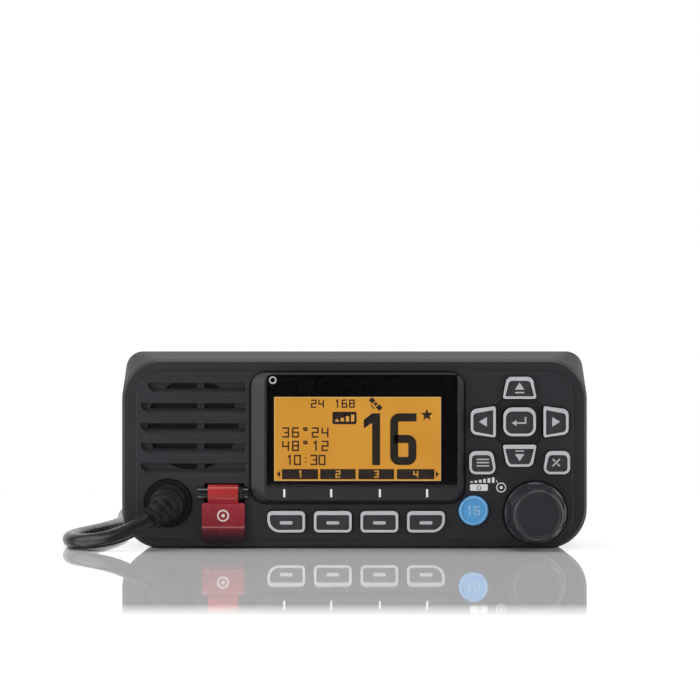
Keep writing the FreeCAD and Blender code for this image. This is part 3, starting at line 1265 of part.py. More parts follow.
def tube(name, route, radius):
    """Straight runs joined by tangent arcs, each arc as large as its two runs allow."""
    points = [Vector(*point) for point in route]
    edges = []
    start = points[0]
    length = 0.0
    radii = []
    for before, corner, after in zip(points, points[1:], points[2:]):
        inward = (corner - before).normalize()
        outward = (after - corner).normalize()
        shorter = min((corner - before).Length, (after - corner).Length)
        turn = inward.getAngle(outward)
        bend = 0.45 * shorter / math.tan(turn / 2)
        radii.append(round(bend, 1))
        begin = corner - inward * 0.45 * shorter
        end = corner + outward * 0.45 * shorter
        toCentre = (outward - inward).normalize()
        centre = corner + toCentre * (bend / math.cos(turn / 2))
        middle = centre - toCentre * bend
        edges.append(Part.LineSegment(start, begin).toShape())
        edges.append(Part.Arc(begin, middle, end).toShape())
        length += (begin - start).Length + bend * turn
        start = end
    edges.append(Part.LineSegment(start, points[-1]).toShape())
    length += (points[-1] - start).Length
    path = Part.Wire(edges)
    section = Part.Wire([Part.Circle(points[0], (points[1] - points[0]).normalize(), radius).toShape()])
    solid = path.makePipeShell([section], True, False)
    share = solid.Volume / (math.pi * radius ** 2 * length)
    print(name, "length", round(length, 1), "bend radii", radii, "volume share", round(share, 4))
    holder = document.addObject("Part::Feature", name)
    holder.Shape = solid
    return piece(name, holder)


def bootSections(start, heading, tip, tipHeading, baseRadius, tipRadius, ribs):
    """Circles along a bent, ribbed sleeve, from a base circle to a tip circle."""
    bend = (tip - start).Length * 0.4
    first, last = start + heading * bend, tip - tipHeading * bend
    sections = []
    steps = ribs * 4
    for i in range(steps + 1):
        part = i / steps
        rest = 1 - part
        place = (start * rest ** 3 + first * (3 * rest ** 2 * part) + last * (3 * rest * part ** 2)
                 + tip * part ** 3)
        along = ((first - start) * (3 * rest ** 2) + (last - first) * (6 * rest * part)
                 + (tip - last) * (3 * part ** 2)).normalize()
        radius = baseRadius + (tipRadius - baseRadius) * part
        groove = sheet.get("boot_rib_step") if i % 4 in (2, 3) and i < steps - 1 else 0.0
        sections.append(Part.Wire([Part.Circle(place, along, radius - groove).toShape()]))
    return sections


def cordBoot():
    """A rubber sleeve that grips the cord: a flange in the socket, then a ribbed taper that bends aside."""
    mouth = Vector(number("boot_x"), -number(f"{plateauFront} - boot_socket_depth"), sheet.get("boot_z"))
    reach = Vector(-sheet.get("boot_reach_left"), -sheet.get("boot_reach_front"), -sheet.get("boot_reach_down"))
    tip = mouth + reach
    aim = (Vector(*tailRoute[1]) - Vector(*tailRoute[0])).normalize()
    forward = Vector(0, -1, 0)
    sleeve = Part.makeLoft(bootSections(mouth, forward, tip, aim, sheet.get("boot_radius"),
                                        sheet.get("boot_tip_radius"), 4), True, True)
    flange = Part.makeCylinder(sheet.get("boot_flange_radius"), 1.6, mouth, forward)
    inside = Part.makeCylinder(number("boot_radius - 0.7"), number(f"{plateauFront} - boot_socket_depth - {innerFront}")
                               + 3.0, mouth, -forward)
    boot = document.addObject("Part::Feature", "cord_boot")
    boot.Shape = sleeve.fuse(flange).fuse(inside).removeSplitter()
    piece("cord_boot", boot)
    back = f"({innerFront} - 3)"
    half = "clamp_length / 2"
    piece("cord_clamp", block("clamp", f"boot_x - {half}", f"boot_x + {half}", back, f"{back} - clamp_deep",
                              "boot_z - clamp_height / 2", "boot_z + clamp_height / 2"))


# ---------------------------------------------------------------- hand microphone
def micPlacement():
    """It lies on its back, on its hanger stud and on the rounded edge at its cord end."""
    edge = sheet.get("mic_edge")
    run = number("mic_length / 2 - mic_edge - stud_x - stud_radius")
    rise = number("stud_rise + mic_edge")
    tilt = 0.0
    for step in range(20):
        tilt = math.asin((rise * math.cos(tilt) - edge) / run)
    lift = number("mic_rear_deep - mic_edge") * math.cos(tilt) + edge
    lift += number("mic_length / 2 - mic_edge") * math.sin(tilt)
    turn = FreeCAD.Rotation(Vector(0, 1, 0), math.degrees(tilt))
    print("microphone tilt", round(math.degrees(tilt), 4), "lift", round(lift, 4))
    return FreeCAD.Placement(Vector(sheet.get("mic_x"), sheet.get("mic_y"), lift), turn)


def micPiece(node, things):
    """A sub-part of the microphone, made flat about the microphone's middle and then laid down."""
    holder = document.addObject("Part::Compound", node)
    holder.Links = things
    holder.Placement = micPlace
    bind(holder, x="mic_x", y="mic_y")
    return piece(node, holder)


def micOutline(inset):
    """Wide at the top, narrower towards the cord."""
    end = f"(mic_length / 2 - {inset})"
    top = f"(mic_top_width / 2 - {inset})"
    low = f"(mic_low_width / 2 - {inset})"
    return [(f"-{end}", f"-{top}"), (end, f"-{low}"), (end, low), (f"-{end}", top)]


def micHalf(name, start, deep, outwards):
    """One shell of the case: rounded outside, hollow inside, open towards the parting plane."""
    corners = ["mic_corner"] * 4
    body = prism(name + "_form", "XY_Plane", micOutline("0"), start, deep, corners)
    flat = number(start) if outwards < 0 else number(f"{start} + {deep}")
    feature = body.Tip
    edges = []
    for index, edge in enumerate(feature.Shape.Edges, start=1):
        if abs(edge.BoundBox.ZMin - flat) < 0.001 and abs(edge.BoundBox.ZMax - flat) < 0.001:
            edges.append(f"Edge{index}")
    fillet = body.newObject("PartDesign::Fillet", name + "_edge")
    fillet.Base = (feature, edges)
    bind(fillet, Radius="mic_edge")
    document.recompute()
    low = f"{start} + mic_wall" if outwards < 0 else f"{start} - 1"
    hollow = prism(name + "_hollow", "XY_Plane", micOutline("mic_wall"), low, f"{deep} - mic_wall + 1",
                   ["mic_corner - mic_wall"] * 4)
    return body, hollow


def box(name, left, right, near, far, low, high):
    """A box between two X, two Y (near < far) and two Z."""
    return block(name, left, right, f"-({near})", f"-({far})", low, high)


def upRod(name, radius, start, length, across, along):
    """A cylinder along Z at an X and a Y."""
    return rod(name, "Z", radius, start, length, across, f"-({along})")


def handMicrophone():
    places = [("-mic_length / 2 + 9", f"({side}) * (mic_top_width / 2 - 9)") for side in (-1, 1)]
    places += [("mic_length / 2 - 9", f"({side}) * (mic_low_width / 2 - 9)") for side in (-1, 1)]
    pttLow, pttHigh = "-ptt_height / 2", "ptt_height / 2"
    pttLeft, pttRight = "ptt_x - ptt_length / 2", "ptt_x + ptt_length / 2"
    slot = box("ptt_slot", f"{pttLeft} - key_gap", f"{pttRight} + key_gap", "-mic_top_width", "-mic_top_width / 4",
               f"{pttLow} - key_gap", f"{pttHigh} + key_gap")

    body, hollow = micHalf("mic_rear", "-mic_rear_deep", "mic_rear_deep", -1)
    bosses = [upRod("mic_boss", "mic_screw_head + 1.6", "-mic_rear_deep + 0.5", "mic_rear_deep - 0.5", *place)
              for place in places]
    shell = cut("mic_rear_shell", body, [hollow])
    bores = [upRod("mic_bore", "mic_screw_radius + 0.1", "-mic_rear_deep - 1", "mic_rear_deep + 2", *place)
             for place in places]
    sinks = [upRod("mic_sink", "mic_screw_head + 0.2", "-mic_rear_deep - 1", "4", *place) for place in places]
    exit = rod("mic_exit", "X", "mic_boot_tip", "mic_length / 2 - mic_wall - 1", "mic_wall + 2", "0",
               "mic_boot_drop")
    studBore = upRod("stud_bore", "stud_neck - 1.2", "-mic_rear_deep - 1", "mic_wall + 2", "stud_x", "0")
    micPiece("mic_rear_case", [cut("mic_rear", fuse("mic_rear_solids", [shell] + bosses),
                                   bores + sinks + [exit, slot, studBore])])

    frontExit = rod("mic_front_exit", "X", "mic_boot_tip", "mic_length / 2 - mic_wall - 1", "mic_wall + 2", "0",
                    "mic_boot_drop")
    body, hollow = micHalf("mic_front", "0", "mic_front_deep", 1)
    bosses = [upRod("mic_front_boss", "mic_screw_head", "0", "mic_front_deep - 0.5", *place) for place in places]
    shell = cut("mic_front_shell", body, [hollow])
    bores = [upRod("mic_front_bore", "mic_screw_radius", "-1", "6", *place) for place in places]
    holes = []
    for side in (-1, 1):
        middle = f"({side}) * mic_key_spread"
        holes.append(box("mic_key_hole", "mic_key_x - mic_key_height / 2 - key_gap",
                         "mic_key_x + mic_key_height / 2 + key_gap", f"{middle} - mic_key_width / 2 - key_gap",
                         f"{middle} + mic_key_width / 2 + key_gap", "mic_front_deep - mic_wall - 1",
                         "mic_front_deep + 1"))
    for slat in range(-2, 3):
        across = f"element_x + ({slat}) * 3.2"
        holes.append(box("sound_slot", f"{across} - 0.7", f"{across} + 0.7", "-element_radius - 2",
                         "element_radius + 2", "mic_front_deep - mic_wall - 1", "mic_front_deep + 1"))
    micPiece("mic_front_case", [cut("mic_front", fuse("mic_front_solids", [shell] + bosses),
                                    bores + holes + [slot, frontExit])])

    side = "(mic_top_width / 2 + (mic_low_width - mic_top_width) * (ptt_x / mic_length + 0.5) / 2)"
    cap = box("ptt_cap", pttLeft, pttRight, f"-{side} - ptt_proud", f"-{side} + mic_wall + 2.4", pttLow, pttHigh)
    lip = box("ptt_lip", f"{pttLeft} - 1.4", f"{pttRight} + 1.4", f"-{side} + mic_wall + 1.4",
              f"-{side} + mic_wall + 2.4", f"{pttLow} - 1.2", f"{pttHigh} + 1.2")
    micPiece("mic_ptt_button", [fuse("ptt", [cap, lip])])

    for name, sign in (("mic_up_key", -1), ("mic_down_key", 1)):
        middle = f"({sign}) * mic_key_spread"
        inside = "mic_front_deep - mic_wall"
        cap = box(name + "_cap", "mic_key_x - mic_key_height / 2", "mic_key_x + mic_key_height / 2",
                  f"{middle} - mic_key_width / 2", f"{middle} + mic_key_width / 2", f"{inside} - 0.5",
                  "mic_front_deep + mic_key_rise")
        lip = box(name + "_lip", "mic_key_x - mic_key_height / 2 - 0.8", "mic_key_x + mic_key_height / 2 + 0.8",
                  f"{middle} - mic_key_width / 2 - 0.8", f"{middle} + mic_key_width / 2 + 0.8",
                  f"{inside} - key_flange_gap - 1", f"{inside} - key_flange_gap")
        micPiece(name, [fuse(name + "_solid", [cap, lip])])

    neck = upRod("stud_shank", "stud_neck", "-mic_rear_deep - stud_rise + 0.5", "stud_rise - 0.5", "stud_x", "0")
    disc = upRod("stud_disc", "stud_radius", "-mic_rear_deep - stud_rise", "stud_head", "stud_x", "0")
    thread = upRod("stud_thread", "stud_neck - 1.25", "-mic_rear_deep - 0.5", "mic_wall + 4", "stud_x", "0")
    micPiece("mic_hanger_stud", [fuse("stud", [neck, disc, thread])])
    element = upRod("element", "element_radius", "mic_front_deep - mic_wall - element_thick", "element_thick",
                    "element_x", "0")
    micPiece("mic_element", [element])
    screws = []
    for place in places:
        head = upRod("mic_screw_top", "mic_screw_head", "-mic_rear_deep + 1.2", "1.6", *place)
        shank = upRod("mic_screw_shank", "mic_screw_radius - 0.02", "-mic_rear_deep + 2.8", "mic_rear_deep + 1.6",
                      *place)
        screws.append(fuse("mic_screw", [head, shank]))
    micPiece("mic_screws", screws)
    boot = document.addObject("Part::Cone", "mic_boot_taper")
    boot.Placement = FreeCAD.Placement(Vector(), xAxis)
    bind(boot, Radius1="mic_boot_radius", Radius2="mic_boot_tip", Height="mic_boot_length", x="mic_length / 2",
         z="mic_boot_drop")
    tail = rod("mic_boot_tail", "X", "mic_boot_tip - 0.05", "mic_length / 2 - mic_wall - 2", "mic_wall + 3", "0",
               "mic_boot_drop")
    micPiece("mic_boot", [fuse("mic_boot_solid", [boot, tail])])


mainSeal()
rearChassis()
heatSink()
mainBoard()
groundScrew = rearConnectors()
inserts()
screws(groundScrew)
cordBoot()
tube("mic_cord_tail", tailRoute, sheet.get("cord_radius"))
tube("mic_cord_curl", curlRoute, sheet.get("curl_radius"))
tube("mic_cord_lead", leadRoute, sheet.get("cord_radius"))
document.recompute()
micPlace = micPlacement()
handMicrophone()
document.recompute()

# ---------------------------------------------------------------- checks and export
for thing in document.Objects:
    if "Invalid" in thing.State or "Error" in thing.State:
        raise RuntimeError(f"{thing.Name} failed: {thing.State}")
for thing in pieces:
    if thing.Shape.isNull() or not thing.Shape.isValid():
        raise RuntimeError(f"{thing.Label} has no valid shape")

os.makedirs("parts", exist_ok=True)
for thing in pieces:
    thing.Shape.exportStep(f"parts/{thing.Label}.step")
print(len(pieces), "sub-parts written")
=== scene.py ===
import bmesh
import bpy
import math
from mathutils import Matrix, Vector


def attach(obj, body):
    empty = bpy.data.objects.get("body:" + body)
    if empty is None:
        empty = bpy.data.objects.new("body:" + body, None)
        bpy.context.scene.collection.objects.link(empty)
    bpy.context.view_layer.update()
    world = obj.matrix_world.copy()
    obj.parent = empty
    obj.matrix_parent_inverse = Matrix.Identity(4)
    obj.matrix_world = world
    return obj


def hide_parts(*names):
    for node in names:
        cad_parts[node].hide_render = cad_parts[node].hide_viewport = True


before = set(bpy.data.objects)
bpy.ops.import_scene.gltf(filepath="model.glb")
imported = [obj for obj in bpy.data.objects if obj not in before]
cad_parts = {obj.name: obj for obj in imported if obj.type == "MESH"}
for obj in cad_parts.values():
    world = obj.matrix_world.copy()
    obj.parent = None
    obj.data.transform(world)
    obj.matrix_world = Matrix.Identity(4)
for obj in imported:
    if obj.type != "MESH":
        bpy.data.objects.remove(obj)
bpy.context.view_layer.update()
mm = 0.001
noiseLow, noiseHigh = 0.3, 0.7  # nearly all of a noise's values lie between these
print("frame loaded")


# colours, nodes and materials

def colour(hexText):
    # sRGB hex to linear
    parts = [int(hexText[i:i + 2], 16) / 255 for i in (1, 3, 5)]
    return tuple(c / 12.92 if c <= 0.04045 else ((c + 0.055) / 1.055) ** 2.4 for c in parts) + (1.0,)


def addNode(tree, kind, settings=None, values=None, links=None):
    node = tree.nodes.new(kind)
    for name, value in (settings or {}).items():
        setattr(node, name, value)
    for name, value in (values or {}).items():
        node.inputs[name].default_value = value
    for name, socket in (links or {}).items():
        tree.links.new(socket, node.inputs[name])
    return node


def startMaterial(name, **shaderValues):
    material = bpy.data.materials.new(name)
    material.use_nodes = True
    tree = material.node_tree
    shader = tree.nodes["Principled BSDF"]
    for socket, value in shaderValues.items():
        shader.inputs[socket.replace("_", " ")].default_value = value
    return material, tree, shader


def maths(tree, operation, *sources):
    # each source is a socket or a plain number
    node = addNode(tree, "ShaderNodeMath", {"operation": operation})
    for i, source in enumerate(sources):
        if isinstance(source, float):
            node.inputs[i].default_value = source
        else:
            tree.links.new(source, node.inputs[i])
    return node.outputs[0]


def objectAxes(tree):
    place = addNode(tree, "ShaderNodeTexCoord")
    return addNode(tree, "ShaderNodeSeparateXYZ", links={"Vector": place.outputs["Object"]}).outputs


def objectPoint(tree, perMetre, stretch=(1, 1, 1)):
    # object coordinates are metres here, so a scale is 1 over a real size in metres
    place = addNode(tree, "ShaderNodeTexCoord")
    scaled = addNode(tree, "ShaderNodeMapping", values={"Scale": tuple(perMetre * s for s in stretch)},
                     links={"Vector": place.outputs["Object"]})
    return scaled.outputs["Vector"]


def noise(tree, sizeMm, detail=2.0, stretch=(1, 1, 1)):
    return addNode(tree, "ShaderNodeTexNoise", values={"Scale": 1.0, "Detail": detail, "Roughness": 0.6},
                   links={"Vector": objectPoint(tree, 1000 / sizeMm, stretch)}).outputs["Fac"]


def spread(tree, fac, low, high, fromLow=noiseLow, fromHigh=noiseHigh):
    node = addNode(tree, "ShaderNodeMapRange",
                   values={"From Min": fromLow, "From Max": fromHigh, "To Min": low, "To Max": high},
                   links={"Value": fac})
    return node.outputs["Result"]


def twoTones(tree, fac, first, second):
    ramp = addNode(tree, "ShaderNodeValToRGB", links={"Fac": fac})
    ramp.color_ramp.elements[0].position = noiseLow
    ramp.color_ramp.elements[0].color = colour(first)
    ramp.color_ramp.elements[1].position = noiseHigh
    ramp.color_ramp.elements[1].color = colour(second)
    return ramp.outputs["Color"]


def bump(tree, height, strength, distanceMm, edgeMm=0.0):
    # fine relief, with edges that read as slightly rounded where edgeMm is given
    node = addNode(tree, "ShaderNodeBump", values={"Strength": strength, "Distance": distanceMm * mm},
                   links={"Height": height})
    if edgeMm:
        edge = addNode(tree, "ShaderNodeBevel", {"samples": 6}, {"Radius": edgeMm * mm})
        tree.links.new(edge.outputs["Normal"], node.inputs["Normal"])
    return node.outputs["Normal"]


def mouldedAbs(name, dark, light, rough, grainMm, relief, coat=0.0, edgeMm=0.25):
    # injection-moulded ABS: fine spark-eroded grain, slightly uneven gloss, broad faint colour drift
    material, tree, shader = startMaterial(name, IOR=1.53, Specular_IOR_Level=0.3, Coat_Weight=coat)
    drift = noise(tree, 22.0, 3.0)
    grain = noise(tree, grainMm, 2.0)
    link = tree.links.new
    link(twoTones(tree, drift, dark, light), shader.inputs["Base Color"])
    link(spread(tree, noise(tree, 6.0), rough - 0.015, rough + 0.015), shader.inputs["Roughness"])
    link(bump(tree, grain, relief, 0.05, edgeMm), shader.inputs["Normal"])
    return material


def powderCoat(name, dark, light, rough):
    # powder-coated die casting: orange-peel relief and a soft sheen
    material, tree, shader = startMaterial(name, IOR=1.5)
    peel = noise(tree, 0.9, 1.0)
    link = tree.links.new
    link(twoTones(tree, noise(tree, 14.0, 3.0), dark, light), shader.inputs["Base Color"])
    link(spread(tree, noise(tree, 4.0), rough - 0.015, rough + 0.015), shader.inputs["Roughness"])
    link(bump(tree, peel, 0.35, 0.12), shader.inputs["Normal"])
    return material


def softRubber(name, dark, light, rough, grainMm=0.7, relief=0.15, gloss=0.3):
    # moulded rubber: matt, faintly mottled, with a fine grain
    material, tree, shader = startMaterial(name, IOR=1.52, Specular_IOR_Level=gloss)
    link = tree.links.new
    link(twoTones(tree, noise(tree, 8.0, 3.0), dark, light), shader.inputs["Base Color"])
    link(spread(tree, noise(tree, 3.0), rough - 0.06, rough + 0.06), shader.inputs["Roughness"])
    link(bump(tree, noise(tree, grainMm), relief, 0.04), shader.inputs["Normal"])
    return material


def turnedMetal(name, dark, light, rough, grainMm=0.35, stretch=(1, 1, 12)):
    # plated or turned metal: fine machining lines that catch the light
    material, tree, shader = startMaterial(name, Metallic=1.0)
    lines = noise(tree, grainMm, 3.0, stretch)
    link = tree.links.new
    link(twoTones(tree, noise(tree, 5.0), dark, light), shader.inputs["Base Color"])
    link(spread(tree, lines, rough - 0.08, rough + 0.1), shader.inputs["Roughness"])
    link(bump(tree, lines, 0.12, 0.02), shader.inputs["Normal"])
    return material


def rimmedKey(name, rimFront):
    # silicone key with a hard cap: dark textured face and sides, the raised rim lacquered silver
    material, tree, shader = startMaterial(name, IOR=1.5)
    onRim = maths(tree, "LESS_THAN", objectAxes(tree)["Y"], -rimFront * mm)
    face = twoTones(tree, noise(tree, 4.0, 3.0), "#28272b", "#302f34")
    flake = noise(tree, 0.15, 1.0)
    rim = twoTones(tree, flake, "#c6c6ca", "#d8d8dc")
    tone = addNode(tree, "ShaderNodeMix", {"data_type": "RGBA"}, links={0: onRim, 6: face, 7: rim})
    rimRough, rimMetallic = 0.34, 0.3
    rough = addNode(tree, "ShaderNodeMix", {"data_type": "FLOAT"}, {3: rimRough},
                    {0: onRim, 2: spread(tree, noise(tree, 2.0), 0.4, 0.55)})
    tree.links.new(tone.outputs[2], shader.inputs["Base Color"])
    tree.links.new(rough.outputs[0], shader.inputs["Roughness"])
    tree.links.new(maths(tree, "MULTIPLY", onRim, rimMetallic), shader.inputs["Metallic"])
    tree.links.new(bump(tree, noise(tree, 0.4), 0.12, 0.04, 0.15), shader.inputs["Normal"])
    return material


def printedInk(name, dark, light, gloss=0.5):
    # screen-printed ink: matt, with a slightly uneven film
    material, tree, shader = startMaterial(name, IOR=1.5, Specular_IOR_Level=gloss)
    link = tree.links.new
    link(twoTones(tree, noise(tree, 7.0), dark, light), shader.inputs["Base Color"])
    link(spread(tree, noise(tree, 5.0), 0.48, 0.56), shader.inputs["Roughness"])
    return material


def clearAcrylic(name):
    # clear cast acrylic with an anti-glare coat: polished, with a faintly uneven gloss
    material, tree, shader = startMaterial(name, Transmission_Weight=1.0, IOR=1.49, Specular_IOR_Level=0.15)
    shader.inputs["Base Color"].default_value = colour("#f4f6f5")
    tree.links.new(spread(tree, noise(tree, 9.0), 0.015, 0.04), shader.inputs["Roughness"])
    return material


def redPolycarbonate(name):
    # translucent red polycarbonate: glossy, with light and shade painted by height: a painted highlight up
    # at the hinge barrel, and painted shade darkening to near black at the lower lip, where it lies in shadow
    material, tree, shader = startMaterial(name, IOR=1.58, Specular_IOR_Level=0.22, Coat_Weight=0.08)
    lipZ, barrelZ = 0.002, 0.022  # heights between which its tone changes
    height = spread(tree, objectAxes(tree)["Z"], 0.0, 1.0, lipZ, barrelZ)
    # the tone stops run from painted shade at the lip up to the painted highlight at the barrel
    ramp = addNode(tree, "ShaderNodeValToRGB", links={"Fac": height})
    stops = ramp.color_ramp.elements
    stops[0].color, stops[1].color = colour("#12050a"), colour("#b23431")
    for position, tone in ((0.1, "#33101a"), (0.22, "#661a26"), (0.27, "#86222c"), (0.66, "#932632"),
                           (0.76, "#aa3130")):
        stops.new(position).color = colour(tone)
    cloud = twoTones(tree, noise(tree, 9.0, 1.0), "#e6e6e6", "#ffffff")
    tone = addNode(tree, "ShaderNodeMix", {"data_type": "RGBA", "blend_type": "MULTIPLY"}, {"Factor": 1.0},
                   {6: ramp.outputs["Color"], 7: cloud})
    tree.links.new(tone.outputs[2], shader.inputs["Base Color"])
    tree.links.new(spread(tree, noise(tree, 2.0), 0.2, 0.3), shader.inputs["Roughness"])
    tree.links.new(bump(tree, noise(tree, 1.2), 0.05, 0.02), shader.inputs["Normal"])
    return material


def litDisplay(name, pale, deep, strength=1.0, dotMm=0.45):
    # backlit dot-matrix panel: an even glow, faintly drifting in tone, with a faint grid of dots
    material, tree, shader = startMaterial(name, Roughness=0.6)
    shader.inputs["Base Color"].default_value = colour("#15100a")
    cell = 2 * math.pi / (dotMm * mm)
    axes = objectAxes(tree)
    waves = [maths(tree, "COSINE", maths(tree, "MULTIPLY", axes[axis], cell)) for axis in ("X", "Z")]
    grid = spread(tree, maths(tree, "MAXIMUM", *waves), 1.0, 0.95, 0.8, 1.0)
    glow = twoTones(tree, noise(tree, 26.0, 1.0), deep, pale)
    shade = addNode(tree, "ShaderNodeMix", {"data_type": "RGBA", "blend_type": "MULTIPLY"}, {"Factor": 1.0},
                    {6: glow, 7: grid})
    tree.links.new(shade.outputs[2], shader.inputs["Emission Color"])
    shader.inputs["Emission Strength"].default_value = strength
    return material


def circuitBoard(name):
    # solder-masked glass-fibre board: glossy green with copper showing faintly
    material, tree, shader = startMaterial(name, IOR=1.5, Coat_Weight=0.4)
    trackMm = 3.0
    tracks = addNode(tree, "ShaderNodeTexBrick",
                     values={"Scale": 1.0, "Color1": colour("#1e4a2c"), "Color2": colour("#1a4027"),
                             "Mortar": colour("#2d6338"), "Mortar Size": 0.03},
                     links={"Vector": objectPoint(tree, 1000 / trackMm)})
    tree.links.new(tracks.outputs["Color"], shader.inputs["Base Color"])
    tree.links.new(spread(tree, noise(tree, 3.0), 0.3, 0.45), shader.inputs["Roughness"])
    return material


materials = {
    "panelAbs": mouldedAbs("mouldedBlackAbs", "#262529", "#29282d", 0.5, 0.45, 0.28, edgeMm=0.4),
    "bezelInk": printedInk("blackPrintedBorder", "#0c0c10", "#0f0f14", 0.05),
    # painted shade: a dark line round the bezel's foot, where its groove lies in shadow
    "bezelFootShade": printedInk("paintedShadeAtBezelFoot", "#121214", "#171719", 0.1),
    "rimmedKey": rimmedKey("silverRimmedKey", 53.12),
    "knobAbs": mouldedAbs("satinKnobAbs", "#27252a", "#2c2a2f", 0.36, 0.5, 0.12),
    "blueKey": mouldedAbs("blueKeyCap", "#529fdb", "#5da9e2", 0.4, 0.5, 0.1),
    "keyInk": printedInk("greyKeyPrint", "#b4b4b8", "#c0c0c4"),
    "paleInk": printedInk("paleScreenPrint", "#e4e4e6", "#f0f0f1"),
    "acrylic": clearAcrylic("clearAcrylicWindow"),
    "amber": litDisplay("amberBacklitDisplay", "#d99a3e", "#cf9036"),
    "darkSegments": printedInk("darkDisplaySegments", "#170c05", "#1c1006"),
    "thinSegments": printedInk("thinDisplaySegments", "#3c1908", "#431d0a"),
    "brownSegments": printedInk("brownDisplayBlocks", "#1e0b05", "#260f07"),
    "amberMark": litDisplay("amberDisplayMark", "#d99a3e", "#cf9036"),
    # a paler glowing band round the lit area: a painted highlight along the display's edge
    "displayEdgeHighlight": litDisplay("paintedDisplayEdgeHighlight", "#e3b873", "#dcae66"),
    "coverMark": printedInk("paleCoverPrint", "#cfc4c4", "#d8cfcf"),
    "paleBlueInk": printedInk("paleBluePrint", "#8fb8e0", "#9cc2e6"),
    "cover": redPolycarbonate("redPolycarbonateCover"),
    "pinBlack": mouldedAbs("glossyBlackPin", "#1b1a1c", "#232225", 0.18, 0.8, 0.04, 0.5),
    "alertRed": mouldedAbs("redAlertKey", "#a02a2c", "#b23436", 0.35, 0.5, 0.08),
    "chassis": powderCoat("powderCoatedCasting", "#242326", "#272629", 0.5),
    "rubber": softRubber("blackRubberSleeve", "#0f0f11", "#141416", 0.5, gloss=0.14),
    "silicone": softRubber("greySilicone", "#2a2a2b", "#343435", 0.6),
    "cordJacket": softRubber("glossyCordJacket", "#17171a", "#1e1e21", 0.26, 1.4, 0.06),
    "micAbs": mouldedAbs("mouldedMicrophoneAbs", "#29282c", "#2f2e32", 0.5, 0.5, 0.3),
    "micKeys": softRubber("darkKeyRubber", "#353438", "#3d3c40", 0.55),
    "steel": turnedMetal("stainlessScrewHeads", "#9b9b9b", "#b4b4b4", 0.32),
    "nickel": turnedMetal("nickelPlatedBrass", "#b9b5a8", "#cdc9bd", 0.22),
    "brass": turnedMetal("turnedBrass", "#86662f", "#99773c", 0.34),
    "tin": turnedMetal("tinnedSheet", "#b4b3ad", "#c6c5bf", 0.35),
    "darkSteel": turnedMetal("darkPlatedSteel", "#2b2b2c", "#363637", 0.4),
    "mesh": softRubber("blackAcousticMesh", "#0b0b0c", "#111112", 0.8, 0.5, 0.5),
    "paperCone": softRubber("treatedPaperCone", "#1a1918", "#232220", 0.75),
    "board": circuitBoard("greenSolderMaskBoard"),
    "insulator": mouldedAbs("whiteInsulator", "#d8d5c8", "#e4e1d5", 0.4, 0.6, 0.08),
    "darkPlastic": mouldedAbs("darkInnerMoulding", "#1c1c1d", "#232324", 0.55, 0.6, 0.15),
    "diffuser": mouldedAbs("whiteLightDiffuser", "#e2ddd2", "#ece8df", 0.5, 0.8, 0.05),
}
nodeFinish = {
    "amber": ["lcd_panel"], "panelAbs": ["front_panel"], "acrylic": ["display_window"],
    "diffuser": ["backlight_diffuser"],
    "darkPlastic": ["lcd_holder", "cord_clamp", "encoder_body", "encoder_collar", "power_amp_module",
                    "gps_connector"],
    "rimmedKey": ["softkey_1", "softkey_2", "softkey_3", "softkey_4", "channel_up_key", "channel_down_key",
                  "left_key", "right_key", "enter_key", "menu_key", "clear_key"],
    "blueKey": ["channel_16_key"],
    "alertRed": ["alert_key"], "silicone": ["keypad_membrane", "main_seal", "knob_seal"],
    "board": ["front_board", "main_board"], "knobAbs": ["volume_knob"],
    "steel": ["encoder_shaft", "encoder_nut", "chassis_screws", "board_screws", "mic_screws",
              "mic_hanger_stud"],
    "mesh": ["speaker_membrane"],
    "darkSteel": ["speaker_frame", "speaker_magnet", "cover_spring", "mic_element"],
    "paperCone": ["speaker_cone"], "cover": ["alert_cover"], "pinBlack": ["cover_hinge_pin"],
    "chassis": ["rear_chassis", "heat_sink"], "tin": ["shield_can"], "nickel": ["antenna_connector"],
    "insulator": ["antenna_insulator"], "rubber": ["lead_glands", "cord_boot", "mic_boot"],
    "brass": ["bracket_inserts"], "micAbs": ["mic_front_case", "mic_rear_case"],
    "micKeys": ["mic_ptt_button", "mic_up_key", "mic_down_key"],
}


def dressNode(node, material):
    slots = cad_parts[node].data.materials
    slots.clear()
    slots.append(material)


for finish, nodes in nodeFinish.items():
    for node in nodes:
        dressNode(node, materials[finish])
print("materials made")


# camera and cord

# distance is from the plane of the panel's face at faceY, and span is the width seen there
cameraSettings = {"faceY": -0.052, "distance": 0.670, "height": 0.055, "span": 0.2352, "sensor": 36.0,
                  "shiftX": -0.0064, "shiftY": 0.0498}


def makeCamera(at):
    data = bpy.data.cameras.new("camera")
    data.sensor_width = at["sensor"]
    data.lens = at["sensor"] * at["distance"] / at["span"]
    data.shift_x = at["shiftX"]
    data.shift_y = at["shiftY"]
    data.clip_start = 0.01
    data.clip_end = 20.0
    camera = bpy.data.objects.new("camera", data)
    camera.location = (0.0, at["faceY"] - at["distance"], at["height"])
    camera.rotation_euler = (math.radians(90), 0, 0)
    bpy.context.scene.collection.objects.link(camera)
    bpy.context.scene.camera = camera


makeCamera(cameraSettings)

# the cord's route in mm, point by point: tail, curl, lead
tailRoute = [(-67.5, -61.6, 10.5), (-75.8, -64.0, 5.4), (-86.3, -62.2, 3.1), (-94.2, -54.6, 2.7),
             (-97.4, -43.0, 2.7), (-95.6, -25.0, 2.7), (-89.6, 3.0, 2.7), (-87.2, 36.0, 2.7),
             (-91.2, 66.0, 2.7), (-93.4, 96.0, 2.7), (-93.8, 116.0, 2.7), (-90.4, 132.0, 2.7),
             (-82.8, 145.4, 2.7), (-71.8, 154.2, 2.7), (-60.0, 158.6, 2.7)]
curlRoute = [(-22.0, 164.0, 2.7), (20.0, 164.4, 2.7)]
leadRoute = [(60.0, 161.0, 2.7), (70.6, 159.4, 2.7), (80.2, 152.6, 2.7), (85.0, 141.5, 2.8),
             (84.4, 129.3, 3.4), (77.0, 118.6, 6.2), (64.8, 112.8, 10.3), (52.6, 112.0, 11.86)]
